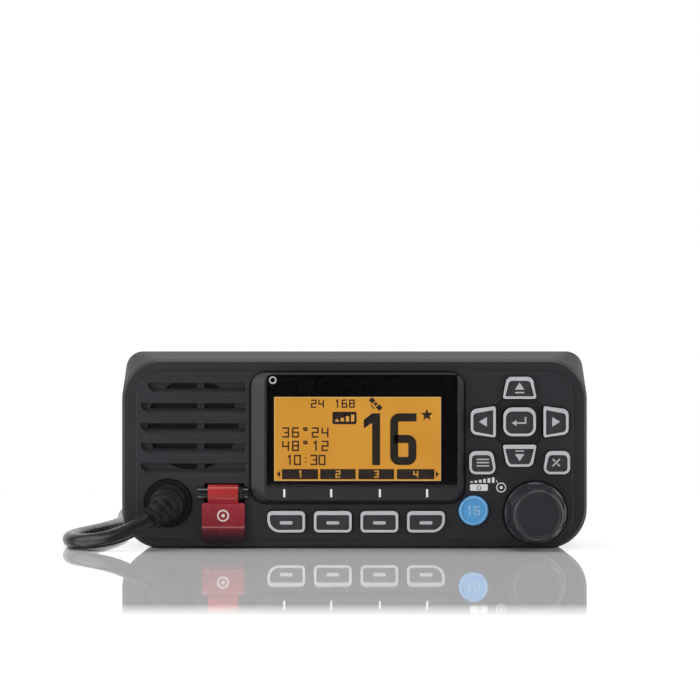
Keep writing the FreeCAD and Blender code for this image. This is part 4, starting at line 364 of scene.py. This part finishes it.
cordFacts = {"diameter": 0.0052, "curlDiameter": 0.018, "curlPitch": 0.0057, "pointsPerTurn": 20,
             "easeSteps": 8, "easeRun": 0.0105, "clearRun": 0.002, "length": 1.18,
             "routeSamples": 24, "stride": 6, "endSkip": 3, "smoothness": 3}


def splineObject(name, points, resolution, bevel=0.0):
    curve = bpy.data.curves.new(name, "CURVE")
    curve.dimensions = "3D"
    curve.resolution_u = resolution
    curve.bevel_depth = bevel
    curve.bevel_resolution = 6
    spline = curve.splines.new("NURBS")
    spline.points.add(len(points) - 1)
    for point, place in zip(spline.points, points):
        point.co = (*place, 1.0)
    spline.order_u = 3
    spline.use_endpoint_u = True
    thing = bpy.data.objects.new(name, curve)
    bpy.context.scene.collection.objects.link(thing)
    return thing


def sampledLine(points, resolution):
    # points read along the route's own smooth line
    guide = splineObject("guide", points, resolution)
    bpy.context.view_layer.update()
    mesh = bpy.data.meshes.new_from_object(guide)
    line = [vertex.co.copy() for vertex in mesh.vertices]
    bpy.data.objects.remove(guide)
    bpy.data.meshes.remove(mesh)
    return line


def pointAlong(line, lengths, distance):
    for i in range(1, len(line)):
        if lengths[i] >= distance:
            share = (distance - lengths[i - 1]) / max(lengths[i] - lengths[i - 1], 1e-9)
            return line[i - 1].lerp(line[i], share), (line[i] - line[i - 1]).normalized()
    return line[-1], (line[-1] - line[-2]).normalized()


def toMetres(route):
    return [tuple(c * mm for c in point) for point in route]


def curledCord(facts):
    line = sampledLine(toMetres(tailRoute + curlRoute + leadRoute), facts["routeSamples"])
    lengths = [0.0]
    for a, b in zip(line, line[1:]):
        lengths.append(lengths[-1] + (b - a).length)

    def lengthNear(target):
        nearest = min(range(len(line)), key=lambda i: (line[i] - Vector(target)).length)
        return lengths[nearest]

    # the curl rests on the route, and each end of it turns in from the straight over easeSteps
    start = lengthNear(toMetres(tailRoute)[-1]) - facts["easeRun"]
    end = lengthNear(toMetres(leadRoute)[0]) + facts["easeRun"]
    radius = (facts["curlDiameter"] - facts["diameter"]) / 2
    perTurn, ease = facts["pointsPerTurn"], facts["easeSteps"]
    step = math.hypot(2 * math.pi * radius, facts["curlPitch"]) / perTurn

    def stepsFor(turns):
        count = turns * perTurn + ease
        rates = [min(1.0, (i + 0.5) / ease, (count - i - 0.5) / ease) for i in range(count)]
        sweep = [rate * 2 * math.pi / perTurn for rate in rates]
        return sweep, [math.sqrt(max(step ** 2 - (radius * turn) ** 2, 0)) for turn in sweep]

    turns = 1
    while sum(stepsFor(turns + 1)[1]) < end - start:
        turns += 1
    sweep, runs = stepsFor(turns)
    scale = (end - start) / sum(runs)
    # the straight stretches keep every stride-th sample that is clear of the curl
    stride, clear = facts["stride"], facts["clearRun"]
    points = [line[i] for i in range(0, len(line), stride) if lengths[i] < start - clear]
    points[0] = line[0]
    angle, distance = -math.pi / 2, start
    for turn, run in zip([0.0] + sweep, [0.0] + runs):
        angle += turn
        distance += run * scale
        place, along = pointAlong(line, lengths, distance)
        side = along.cross(Vector((0, 0, 1))).normalized()
        up = side.cross(along).normalized()
        points.append(place + (side * math.cos(angle) + up * (1 + math.sin(angle))) * radius)
    points += [line[i] for i in range(0, len(line) - facts["endSkip"], stride)
               if lengths[i] > end + clear]
    points.append(line[-1])
    return splineObject("micCord", points, facts["smoothness"], facts["diameter"] / 2)


cord = curledCord(cordFacts)
cord.data.materials.append(materials["cordJacket"])
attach(cord, "root")
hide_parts("mic_cord_tail", "mic_cord_curl", "mic_cord_lead")
print("camera and cord made")


# floor, backdrop and lights

# in metres: the mirror fades in from mirrorEnd to mirrorFull, and out again from the origin to mirrorBack;
# the white fades in with the distance from the origin, and backwards up to fadeBack
stageSettings = {"mirror": 0.74, "mirrorEnd": -0.262, "mirrorFull": -0.222, "mirrorBack": 0.10,
                 "mirrorRough": 0.03, "white": 0.93, "fadeStart": 0.225, "fadeEnd": 0.42, "fadeBack": 0.26,
                 "halfWidth": 6, "front": -3, "back": 6, "wallY": 5, "wallHigh": 5,
                 "flagHalf": 0.5, "flag": [(-0.46, 0.001), (-0.95, 0.001), (-0.95, 0.5)]}


def makeStage(at):
    mesh = bpy.data.meshes.new("floor")
    half, front, back = at["halfWidth"], at["front"], at["back"]
    mesh.from_pydata([(-half, front, 0), (half, front, 0), (half, back, 0), (-half, back, 0)], [],
                     [(0, 1, 2, 3)])
    floor = bpy.data.objects.new("floor", mesh)
    bpy.context.scene.collection.objects.link(floor)
    # white acrylic sheet: satin white that mirrors softly under the object and blows out further off
    material, tree, shader = startMaterial("whiteAcrylicSheet", Roughness=0.5, Specular_IOR_Level=0.0)
    shader.inputs["Base Color"].default_value = (at["white"], at["white"], at["white"], 1.0)
    place = addNode(tree, "ShaderNodeNewGeometry")
    axes = addNode(tree, "ShaderNodeSeparateXYZ", links={"Vector": place.outputs["Position"]}).outputs
    ahead = spread(tree, axes["Y"], 0.0, at["mirror"], at["mirrorEnd"], at["mirrorFull"])
    behind = spread(tree, axes["Y"], 0.0, 1.0, at["mirrorBack"], 0.0)
    near = maths(tree, "MULTIPLY", ahead, behind)
    mirror = addNode(tree, "ShaderNodeBsdfGlossy",
                     values={"Color": (1, 1, 1, 1), "Roughness": at["mirrorRough"]})
    shiny = addNode(tree, "ShaderNodeMixShader",
                    links={0: near, 1: shader.outputs[0], 2: mirror.outputs[0]})
    out = addNode(tree, "ShaderNodeVectorMath", {"operation": "LENGTH"}, links={0: place.outputs["Position"]})
    around = spread(tree, out.outputs["Value"], 0.0, 1.0, at["fadeStart"], at["fadeEnd"])
    beyond = spread(tree, axes["Y"], 0.0, 1.0, 0.0, at["fadeBack"])
    far = maths(tree, "MAXIMUM", around, beyond)
    white = addNode(tree, "ShaderNodeEmission", values={"Color": (1, 1, 1, 1), "Strength": 1.0})
    ray = addNode(tree, "ShaderNodeLightPath").outputs
    seen = maths(tree, "MAXIMUM", ray["Is Camera Ray"], ray["Is Glossy Ray"])
    through = maths(tree, "MAXIMUM", seen, ray["Is Transmission Ray"])
    share = maths(tree, "MULTIPLY", through, far)
    both = addNode(tree, "ShaderNodeMixShader", links={0: share, 1: shiny.outputs[0], 2: white.outputs[0]})
    tree.links.new(both.outputs[0], tree.nodes["Material Output"].inputs["Surface"])
    floor.data.materials.append(material)

    def card(name, halfWidth, profile):
        # a sheet bent along X through (y, z) places
        mesh = bpy.data.meshes.new(name)
        corners = [(side * halfWidth, y, z) for y, z in profile for side in (-1, 1)]
        mesh.from_pydata(corners, [], [(i, i + 1, i + 3, i + 2) for i in range(0, len(corners) - 2, 2)])
        thing = bpy.data.objects.new(name, mesh)
        bpy.context.scene.collection.objects.link(thing)
        return thing

    backdrop = card("backdrop", half, [(at["wallY"], 0), (at["wallY"], at["wallHigh"])])
    # seamless white paper, evenly lit
    paper, tree, shader = startMaterial("litWhitePaper", Roughness=0.8)
    shader.inputs["Base Color"].default_value = (0.0, 0.0, 0.0, 1.0)
    shader.inputs["Emission Color"].default_value = (1, 1, 1, 1)
    shader.inputs["Emission Strength"].default_value = 1.0
    backdrop.data.materials.append(paper)
    # black flag under and behind the camera: matt cloth that keeps glare off the front
    flag = card("flag", at["flagHalf"], at["flag"])
    flag.visible_camera = False
    cloth, tree, shader = startMaterial("blackFlagCloth", Roughness=0.95)
    tree.links.new(twoTones(tree, noise(tree, 3.0), "#0a0a0a", "#111111"), shader.inputs["Base Color"])
    flag.data.materials.append(cloth)


worldSettings = {"fill": 0.12, "seen": 1.0}


def makeWorld(at):
    # white to the camera and through the window, and a faint fill for everything else
    world = bpy.data.worlds.new("studio")
    bpy.context.scene.world = world
    world.use_nodes = True
    tree = world.node_tree
    soft = tree.nodes["Background"]
    soft.inputs["Color"].default_value = (1, 1, 1, 1)
    soft.inputs["Strength"].default_value = at["fill"]
    white = addNode(tree, "ShaderNodeBackground", values={"Color": (1, 1, 1, 1), "Strength": at["seen"]})
    ray = addNode(tree, "ShaderNodeLightPath").outputs
    seen = maths(tree, "MAXIMUM", ray["Is Camera Ray"], ray["Is Transmission Ray"])
    both = addNode(tree, "ShaderNodeMixShader", links={0: seen, 1: soft.outputs[0], 2: white.outputs[0]})
    tree.links.new(both.outputs[0], tree.nodes["World Output"].inputs["Surface"])


lampSettings = {
    "topSoftbox": {"place": (0.0, 0.00, 0.95), "size": 0.8, "power": 8.0},
    "leftSoftbox": {"place": (-0.90, -0.20, 0.42), "size": 0.80, "power": 5.4},
    "leftFrontCard": {"place": (-0.32, -0.30, 0.14), "size": 0.22, "power": 0.5},
    "rightSoftbox": {"place": (0.86, -0.20, 0.42), "size": 0.80, "power": 7.2},
}
lampAim = (0, -0.02, 0.03)


def makeLamps():
    for name, lamp in lampSettings.items():
        data = bpy.data.lights.new(name, "AREA")
        data.size = lamp["size"]
        data.energy = lamp["power"]
        light = bpy.data.objects.new(name, data)
        light.location = lamp["place"]
        light.visible_camera = False
        aim = Vector(lampAim) - light.location
        light.rotation_euler = aim.to_track_quat("-Z", "Y").to_euler()
        bpy.context.scene.collection.objects.link(light)


makeStage(stageSettings)
makeWorld(worldSettings)
makeLamps()
bpy.context.scene.view_settings.view_transform = "Standard"
print("stage and lights made")


# printed marks, display contents and key legends

def ribbon(points, width, closed=False):
    # quads along a line of (x, z) places in mm, mitred at its corners
    count = len(points)
    sides = []
    for i, (x, z) in enumerate(points):
        before = points[i - 1] if i > 0 or closed else None
        after = points[(i + 1) % count] if i < count - 1 or closed else None
        runs = []
        for a, b in ((before, (x, z)), ((x, z), after)):
            if a is not None and b is not None:
                run = Vector((b[0] - a[0], b[1] - a[1]))
                runs.append(run.normalized())
        along = sum(runs, Vector((0, 0))).normalized()
        reach = width / 2 / max(along.dot(runs[0]), 0.35)
        across = Vector((-along.y, along.x)) * reach
        sides.append(((x + across.x, z + across.y), (x - across.x, z - across.y)))
    if closed:
        sides.append(sides[0])
    return [[a[0], a[1], b[1], b[0]] for a, b in zip(sides, sides[1:])]


def box(left, right, low, high):
    return [(left, low), (right, low), (right, high), (left, high)]


def roundedBox(left, right, low, high, radius, steps=6):
    corners = ((right - radius, high - radius, 0), (left + radius, high - radius, 90),
               (left + radius, low + radius, 180), (right - radius, low + radius, 270))
    outline = []
    for x, z, start in corners:
        for step in range(steps + 1):
            angle = math.radians(start + 90 * step / steps)
            outline.append((x + radius * math.cos(angle), z + radius * math.sin(angle)))
    return outline


def arc(x, z, radius, start, end, steps=24):
    return [(x + radius * math.cos(math.radians(start + (end - start) * i / steps)),
             z + radius * math.sin(math.radians(start + (end - start) * i / steps)))
            for i in range(steps + 1)]


def ringMark(x, z, radius, width, steps=24):
    return ribbon(arc(x, z, radius, 0, 360, steps)[:-1], width, True)


def dotMark(x, z, radius):
    return arc(x, z, radius, 0, 360, 16)[:-1]


def risingBars(count, left, right, low, high, step, rise):
    # a row of bars, each taller than the one before by rise
    return [box(left + step * i, right + step * i, low, high + rise * i) for i in range(count)]


def finishFilm(build, name, thick, material):
    # turns a flat mesh into an object, thickened towards its back
    mesh = bpy.data.meshes.new(name)
    build.to_mesh(mesh)
    build.free()
    mesh.materials.append(material)
    thing = bpy.data.objects.new(name, mesh)
    bpy.context.scene.collection.objects.link(thing)
    solid = thing.modifiers.new("thickness", "SOLIDIFY")
    solid.thickness = thick * mm
    solid.offset = -1.0
    return thing


def print2d(name, shapes, front, thick, material, body="root"):
    # flat pieces of ink or film: outlines in mm at a front distance
    build = bmesh.new()
    for shape in shapes:
        corners = [build.verts.new((x * mm, -front * mm, z * mm)) for x, z in shape]
        build.faces.new(corners)
    bmesh.ops.remove_doubles(build, verts=build.verts[:], dist=1e-7)
    bmesh.ops.triangulate(build, faces=[face for face in build.faces if len(face.verts) > 4])
    for face in build.faces:
        face.normal_update()
        if face.normal.y > 0:
            face.normal_flip()
    thing = finishFilm(build, name, thick, material)
    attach(thing, body)


# digits as lines on a grid one wide and two high
glyphs = {
    "0": [[(0, 0), (1, 0), (1, 2), (0, 2), (0, -0.13)]],
    "1": [[(0.25, 1.6), (0.65, 2), (0.65, -0.13)]],
    "2": [[(-0.1, 2), (1, 2), (1, 1), (0, 1), (0, 0), (1.1, 0)]],
    "3": [[(-0.1, 2), (1, 2), (1, 0), (-0.1, 0)], [(0.3, 1), (1, 1)]],
    "4": [[(0, 2.1), (0, 0.9), (1, 0.9)], [(1, 2.1), (1, -0.1)]],
    "6": [[(1.1, 2), (0, 2), (0, 0), (1, 0), (1, 1.05), (0, 1.05)]],
    "8": [[(0, 0), (1, 0), (1, 2), (0, 2), (0, -0.13)], [(0, 1.05), (1, 1.05)]],
    ":": [[(0.5, 0.45), (0.5, 0.7)], [(0.5, 1.3), (0.5, 1.55)]],
    "o": [[(0.25, 1.5), (0.75, 1.5), (0.75, 2), (0.25, 2), (0.25, 1.44)]],
}


def figures(text, left, low, height, step, width, breadth=1.25):
    # step is from one figure to the next, width is the line's
    shapes = []
    for place, sign in enumerate(text):
        for line in glyphs.get(sign, []):
            size = (height - width) / 2
            points = [(left + place * step + u * size * breadth, low + width / 2 + v * size)
                      for u, v in line]
            shapes += ribbon(points, width)
    return shapes


# in mm; boxes are left, right, low, high; fronts are distances ahead of the origin
displaySettings = {
    "mask": 53.76, "ink": 53.80, "film": 0.03, "raised": 0.02, "thinFilm": 0.01,
    # shade is the width of the paler band painted round the lit area's edge, a painted highlight
    "left": -26.9, "right": 28.95, "low": 22.85, "high": 50.95, "shade": 0.24,
    "window": (-29.1, 34.2, 21.1, 58.1),
    "gasket": (-29.3, 34.4, 20.9, 58.3), "gasketWidth": 0.6, "gasketBack": 0.03,
    "ring": (-27.4, 56.6, 1.05, 0.5),
    "oneStem": (5.9, 8.6, 28.1, 45.5), "oneFlag": [(5.9, 45.5), (3.1, 43.3), (3.1, 40.4), (5.9, 42.2)],
    "sixLeft": 13.3, "sixRight": 19.4, "sixLow": 29.5, "sixBar": 36.9, "sixHigh": 44.1, "sixTurn": 1.7,
    "sixEnd": 20.8, "sixWidth": 2.75,
    "figures": [("36o24", -24.0, 37.3, 3.5, 3.3, 0.52), ("48o12", -24.0, 32.8, 3.5, 3.3, 0.52),
                ("10:30", -22.8, 28.1, 3.5, 2.75, 0.52), ("24", -14.4, 47.3, 2.8, 2.5, 0.46),
                ("168", -6.6, 47.3, 2.8, 2.5, 0.46)],
    "star": (24.25, 44.9), "starRadii": [2.2, 0.9],
    "badge": (-7.4, 0.7, 41.8, 46.0, 0.6), "badgeBars": (4, -6.4, -5.3, 42.7, 43.4, 1.75, 0.55),
    "satellite": (7.1, 48.6), "satelliteScale": 0.85, "wave": (1.5, 190, 260, 8), "waveWidth": 0.35,
    "satelliteParts": [(-2.1, -0.7, -0.65, 0.65), (0.7, 2.1, -0.65, 0.65), (-0.4, 0.4, -0.5, 0.5)],
    "blocks": [(-24.3, -12.2), (-11.5, 0.4), (1.3, 13.3), (14.2, 26.8)],
    "blockLow": 23.4, "blockHigh": 26.8,
    "blockArrows": [[(-24.9, 23.9), (-24.9, 26.3), (-26.0, 25.1)],
                    [(27.2, 26.3), (27.2, 23.9), (28.3, 25.1)]],
    "numberLeft": 0.6, "number": (23.9, 2.4, 2.0, 0.42),
}


def bigSixteen(at):
    one = [box(*at["oneStem"]), at["oneFlag"]]
    left, right, turn = at["sixLeft"], at["sixRight"], at["sixTurn"]
    low, bar, high = at["sixLow"], at["sixBar"], at["sixHigh"]
    six = [(at["sixEnd"], high)]
    for x, z, start in ((left + turn, high - turn, 90), (left + turn, low + turn, 180),
                        (right - turn, low + turn, 270), (right - turn, bar - turn, 0)):
        six += arc(x, z, turn, start, start + 90, 5)
    six.append((left, bar))
    return one + ribbon(six, at["sixWidth"])


def dressDisplay(at):
    ink, film, raised, thinFilm = at["ink"], at["film"], at["ink"] + at["raised"], at["thinFilm"]
    black, brown, amber = materials["bezelInk"], materials["brownSegments"], materials["amberMark"]
    left, right, low, high = at["left"], at["right"], at["low"], at["high"]
    windowLeft, windowRight, windowLow, windowHigh = at["window"]
    mask = [box(windowLeft, left, windowLow, windowHigh), box(right, windowRight, windowLow, windowHigh),
            box(left, right, windowLow, low), box(left, right, high, windowHigh)]
    print2d("displayMask", mask, at["mask"], film, black)
    print2d("windowGasket", ribbon(box(*at["gasket"]), at["gasketWidth"], True),
            at["mask"] - at["gasketBack"], film, black)
    # a paler glowing band just inside the lit area's edge: a painted highlight
    inset = at["shade"] / 2
    inner = box(left + inset, right - inset, low + inset, high - inset)
    print2d("displayEdge", ribbon(inner, at["shade"], True), at["mask"], film, materials["displayEdgeHighlight"])
    print2d("maskRing", ringMark(*at["ring"]), ink, film, materials["paleInk"])

    print2d("channelFigures", bigSixteen(at), ink, film, materials["darkSegments"])
    small = []
    for line in at["figures"]:
        small += figures(*line)
    print2d("smallFigures", small, ink, film, materials["thinSegments"])
    x, z = at["star"]
    star = [(x + r * math.sin(math.radians(36 * i)), z + r * math.cos(math.radians(36 * i)))
            for i, r in enumerate(at["starRadii"] * 5)]
    print2d("starMark", [star], ink, film, brown)
    print2d("modeBadge", [roundedBox(*at["badge"])], ink, film, brown)
    print2d("badgeBars", risingBars(*at["badgeBars"]), raised, thinFilm, amber)
    x, z = at["satellite"]
    scale = at["satelliteScale"]
    panels = [[(u * scale + v * scale + x, -u * scale + v * scale + z) for u, v in box(*part)]
              for part in at["satelliteParts"]]
    waves = ribbon(arc(x, z, *at["wave"]), at["waveWidth"])
    print2d("satelliteMark", panels + waves, ink, film, brown)
    blocks = [box(a, b, at["blockLow"], at["blockHigh"]) for a, b in at["blocks"]]
    print2d("softkeyBlocks", blocks + at["blockArrows"], ink, film, brown)
    numbers = []
    for number, (a, b) in enumerate(at["blocks"], start=1):
        numbers += figures(str(number), (a + b) / 2 - at["numberLeft"], *at["number"])
    print2d("softkeyNumbers", numbers, raised, thinFilm, amber)


dressDisplay(displaySettings)
print("display made")

panelSettings = {
    "plateau": 52.0, "bezel": 54.7, "film": 0.03, "raised": 0.02,
    "footShade": (-35.1, 37.1, 15.2, 59.3, 5.4), "footShadeWidth": 0.8,
    "ticks": (-23.5, -7.8, 8.5, 24.3), "tickHalf": 0.34, "tickLow": 17.4, "tickHigh": 20.1,
    "bars": (6, 38.9, 39.8, 22.1, 22.6, 1.45, 0.26),
    "leader": [(47.6, 23.0), (48.2, 21.9)], "leaderWidth": 0.25,
    "dial": (49.3, 20.5), "ring": (1.5, 0.35), "dot": 0.55,
    "plate": (38.8, 44.8, 19.4, 21.6, 0.4),
    "power": (41.8, 20.4, 0.62, 130, 410), "powerStem": [(41.8, 20.5), (41.8, 21.35)], "powerWidth": 0.22,
}


def dressPanel(at):
    film, front, pale = at["film"], at["plateau"] + at["film"], materials["paleInk"]
    # a dark line round the bezel's foot: painted shade where the groove there falls into shadow
    footShade = ribbon(roundedBox(*at["footShade"]), at["footShadeWidth"], True)
    print2d("bezelFootShadeLine", footShade, front, film, materials["bezelFootShade"])
    half = at["tickHalf"]
    ticks = [box(x - half, x + half, at["tickLow"], at["tickHigh"]) for x in at["ticks"]]
    print2d("softkeyTicks", ticks, at["bezel"] + film, film, pale)
    # volume and power marks left of the knob, with a leader to a ringed dot
    dial = (ribbon(at["leader"], at["leaderWidth"]) + ringMark(*at["dial"], *at["ring"])
            + [dotMark(*at["dial"], at["dot"])])
    print2d("volumeMark", risingBars(*at["bars"]) + dial, front, film, pale)
    print2d("powerPlate", [roundedBox(*at["plate"])], front, film, pale)
    power = ribbon(arc(*at["power"]), at["powerWidth"]) + ribbon(at["powerStem"], at["powerWidth"])
    print2d("powerMark", power, front + at["raised"], at["raised"], materials["bezelInk"])


coverSettings = {"front": 54.4, "film": 0.03, "middle": (-44.0, 11.2), "ring": (1.75, 0.5), "dot": 0.6}


def dressCover(at):
    # printed ring and dot on the flip cover, where the key underneath is pressed
    mark = ringMark(*at["middle"], *at["ring"]) + [dotMark(*at["middle"], at["dot"])]
    print2d("coverMark", mark, at["front"] + at["film"], at["film"], materials["coverMark"], "alert_cover")


def triangle(x, z, width, height, turn):
    # points up at a turn of 0, to the right at -90
    corners = ((-width / 2, -height / 2), (width / 2, -height / 2), (0, height / 2))
    c, s = math.cos(math.radians(turn)), math.sin(math.radians(turn))
    return [(x + u * c - v * s, z + u * s + v * c) for u, v in corners]


keySettings = {
    "face": 52.95, "rim": 53.3, "film": 0.03, "line": 0.5,
    "dashFirst": -22.9, "dashStep": 15.63, "dashHalf": 2.15, "dashLow": 8.15, "dashHigh": 9.25,
    "dashRound": 0.45,
    "pad": (55.4, 42.6), "channelReach": 12.0, "channelArrow": (3.2, 2.4),
    "barHalf": 1.5, "upBar": (52.2, 52.6), "downBar": (32.6, 33.0),
    "sideReach": 12.3, "sideArrow": (3.2, 2.7),
    "enterLine": [(2.0, 1.6), (2.0, -0.4), (-1.2, -0.4)], "enterArrow": (2.0, 1.6), "enterEnd": (-1.8, -0.4),
    "menuSpan": (-14.4, -10.2), "menuBars": (27.8, 28.9, 30.0), "menuHalf": 0.22,
    "clearLines": [[(11.1, 27.7), (13.5, 30.1)], [(11.1, 30.1), (11.95, 29.25)],
                   [(12.65, 28.55), (13.5, 27.7)]],
    # ring is the pale blue ring painted as a highlight on the blue key's rim
    "sixteen": (37.7, 11.2, 3.2, 2.6, 0.55, 1.15), "ring": (40.0, 12.8, 4.38, 0.3, 40),
}


def dressKeys(at):
    front, film, ink, line = at["face"] + at["film"], at["film"], materials["keyInk"], at["line"]
    half = at["dashHalf"]
    for number in range(4):
        x = at["dashFirst"] + at["dashStep"] * number
        dash = roundedBox(x - half, x + half, at["dashLow"], at["dashHigh"], at["dashRound"])
        print2d(f"softkeyDash{number + 1}", [dash], front, film, ink, f"softkey_{number + 1}")
    x, z = at["pad"]
    reach, side, bar, menu = at["channelReach"], at["sideReach"], at["barHalf"], at["menuHalf"]
    # every x is read from the middle of the pad
    enterX, enterZ = at["enterEnd"]
    enter = [(x + u, z + v) for u, v in at["enterLine"]]
    menuLeft, menuRight = at["menuSpan"]
    cross = []
    for points in at["clearLines"]:
        cross += ribbon([(x + u, high) for u, high in points], line)
    legends = {
        "channel_up_key": [triangle(x, z + reach, *at["channelArrow"], 0),
                           box(x - bar, x + bar, *at["upBar"])],
        "channel_down_key": [triangle(x, z - reach, *at["channelArrow"], 180),
                             box(x - bar, x + bar, *at["downBar"])],
        "left_key": [triangle(x - side, z, *at["sideArrow"], 90)],
        "right_key": [triangle(x + side, z, *at["sideArrow"], -90)],
        "enter_key": ribbon(enter, line) + [triangle(x + enterX, z + enterZ, *at["enterArrow"], 90)],
        "menu_key": [box(x + menuLeft, x + menuRight, middle - menu, middle + menu)
                     for middle in at["menuBars"]],
        "clear_key": cross,
    }
    for key, shapes in legends.items():
        print2d(key + "_legend", shapes, front, film, ink, key)
    blue = materials["paleBlueInk"]
    print2d("channel16Legend", figures("16", *at["sixteen"]), front, film, blue, "channel_16_key")
    # a pale blue ring on the key's rim: a painted highlight along its edge
    print2d("channel16RimHighlight", ringMark(*at["ring"]), at["rim"] + film, film, blue, "channel_16_key")


micSettings = {"film": 0.04, "arrowLength": 1.3, "arrowHalf": 1.7}


def dressMicKey(node, points, film):
    # an arrow printed on the key's own top face, along the microphone
    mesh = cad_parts[node].data
    top = max((face for face in mesh.polygons if face.normal.z > 0.9), key=lambda face: face.center.z)
    flat = [vertex.co for vertex in mesh.vertices if abs((vertex.co - top.center).dot(top.normal)) < 1e-5]
    middle = sum(flat, Vector()) / len(flat)
    along = Vector((1, 0, 0)) - top.normal * top.normal.x
    along.normalize()
    across = top.normal.cross(along)
    lifted = middle + top.normal * film * mm
    build = bmesh.new()
    build.faces.new([build.verts.new(lifted + (along * u + across * v) * mm) for u, v in points])
    thing = finishFilm(build, node + "_arrow", film, materials["keyInk"])
    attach(thing, node)


def dressMicrophone(at):
    length, half = at["arrowLength"], at["arrowHalf"]
    dressMicKey("mic_up_key", [(-length, 0), (length, -half), (length, half)], at["film"])
    dressMicKey("mic_down_key", [(length, 0), (-length, half), (-length, -half)], at["film"])


dressPanel(panelSettings)
dressCover(coverSettings)
dressKeys(keySettings)
dressMicrophone(micSettings)
print("marks made")
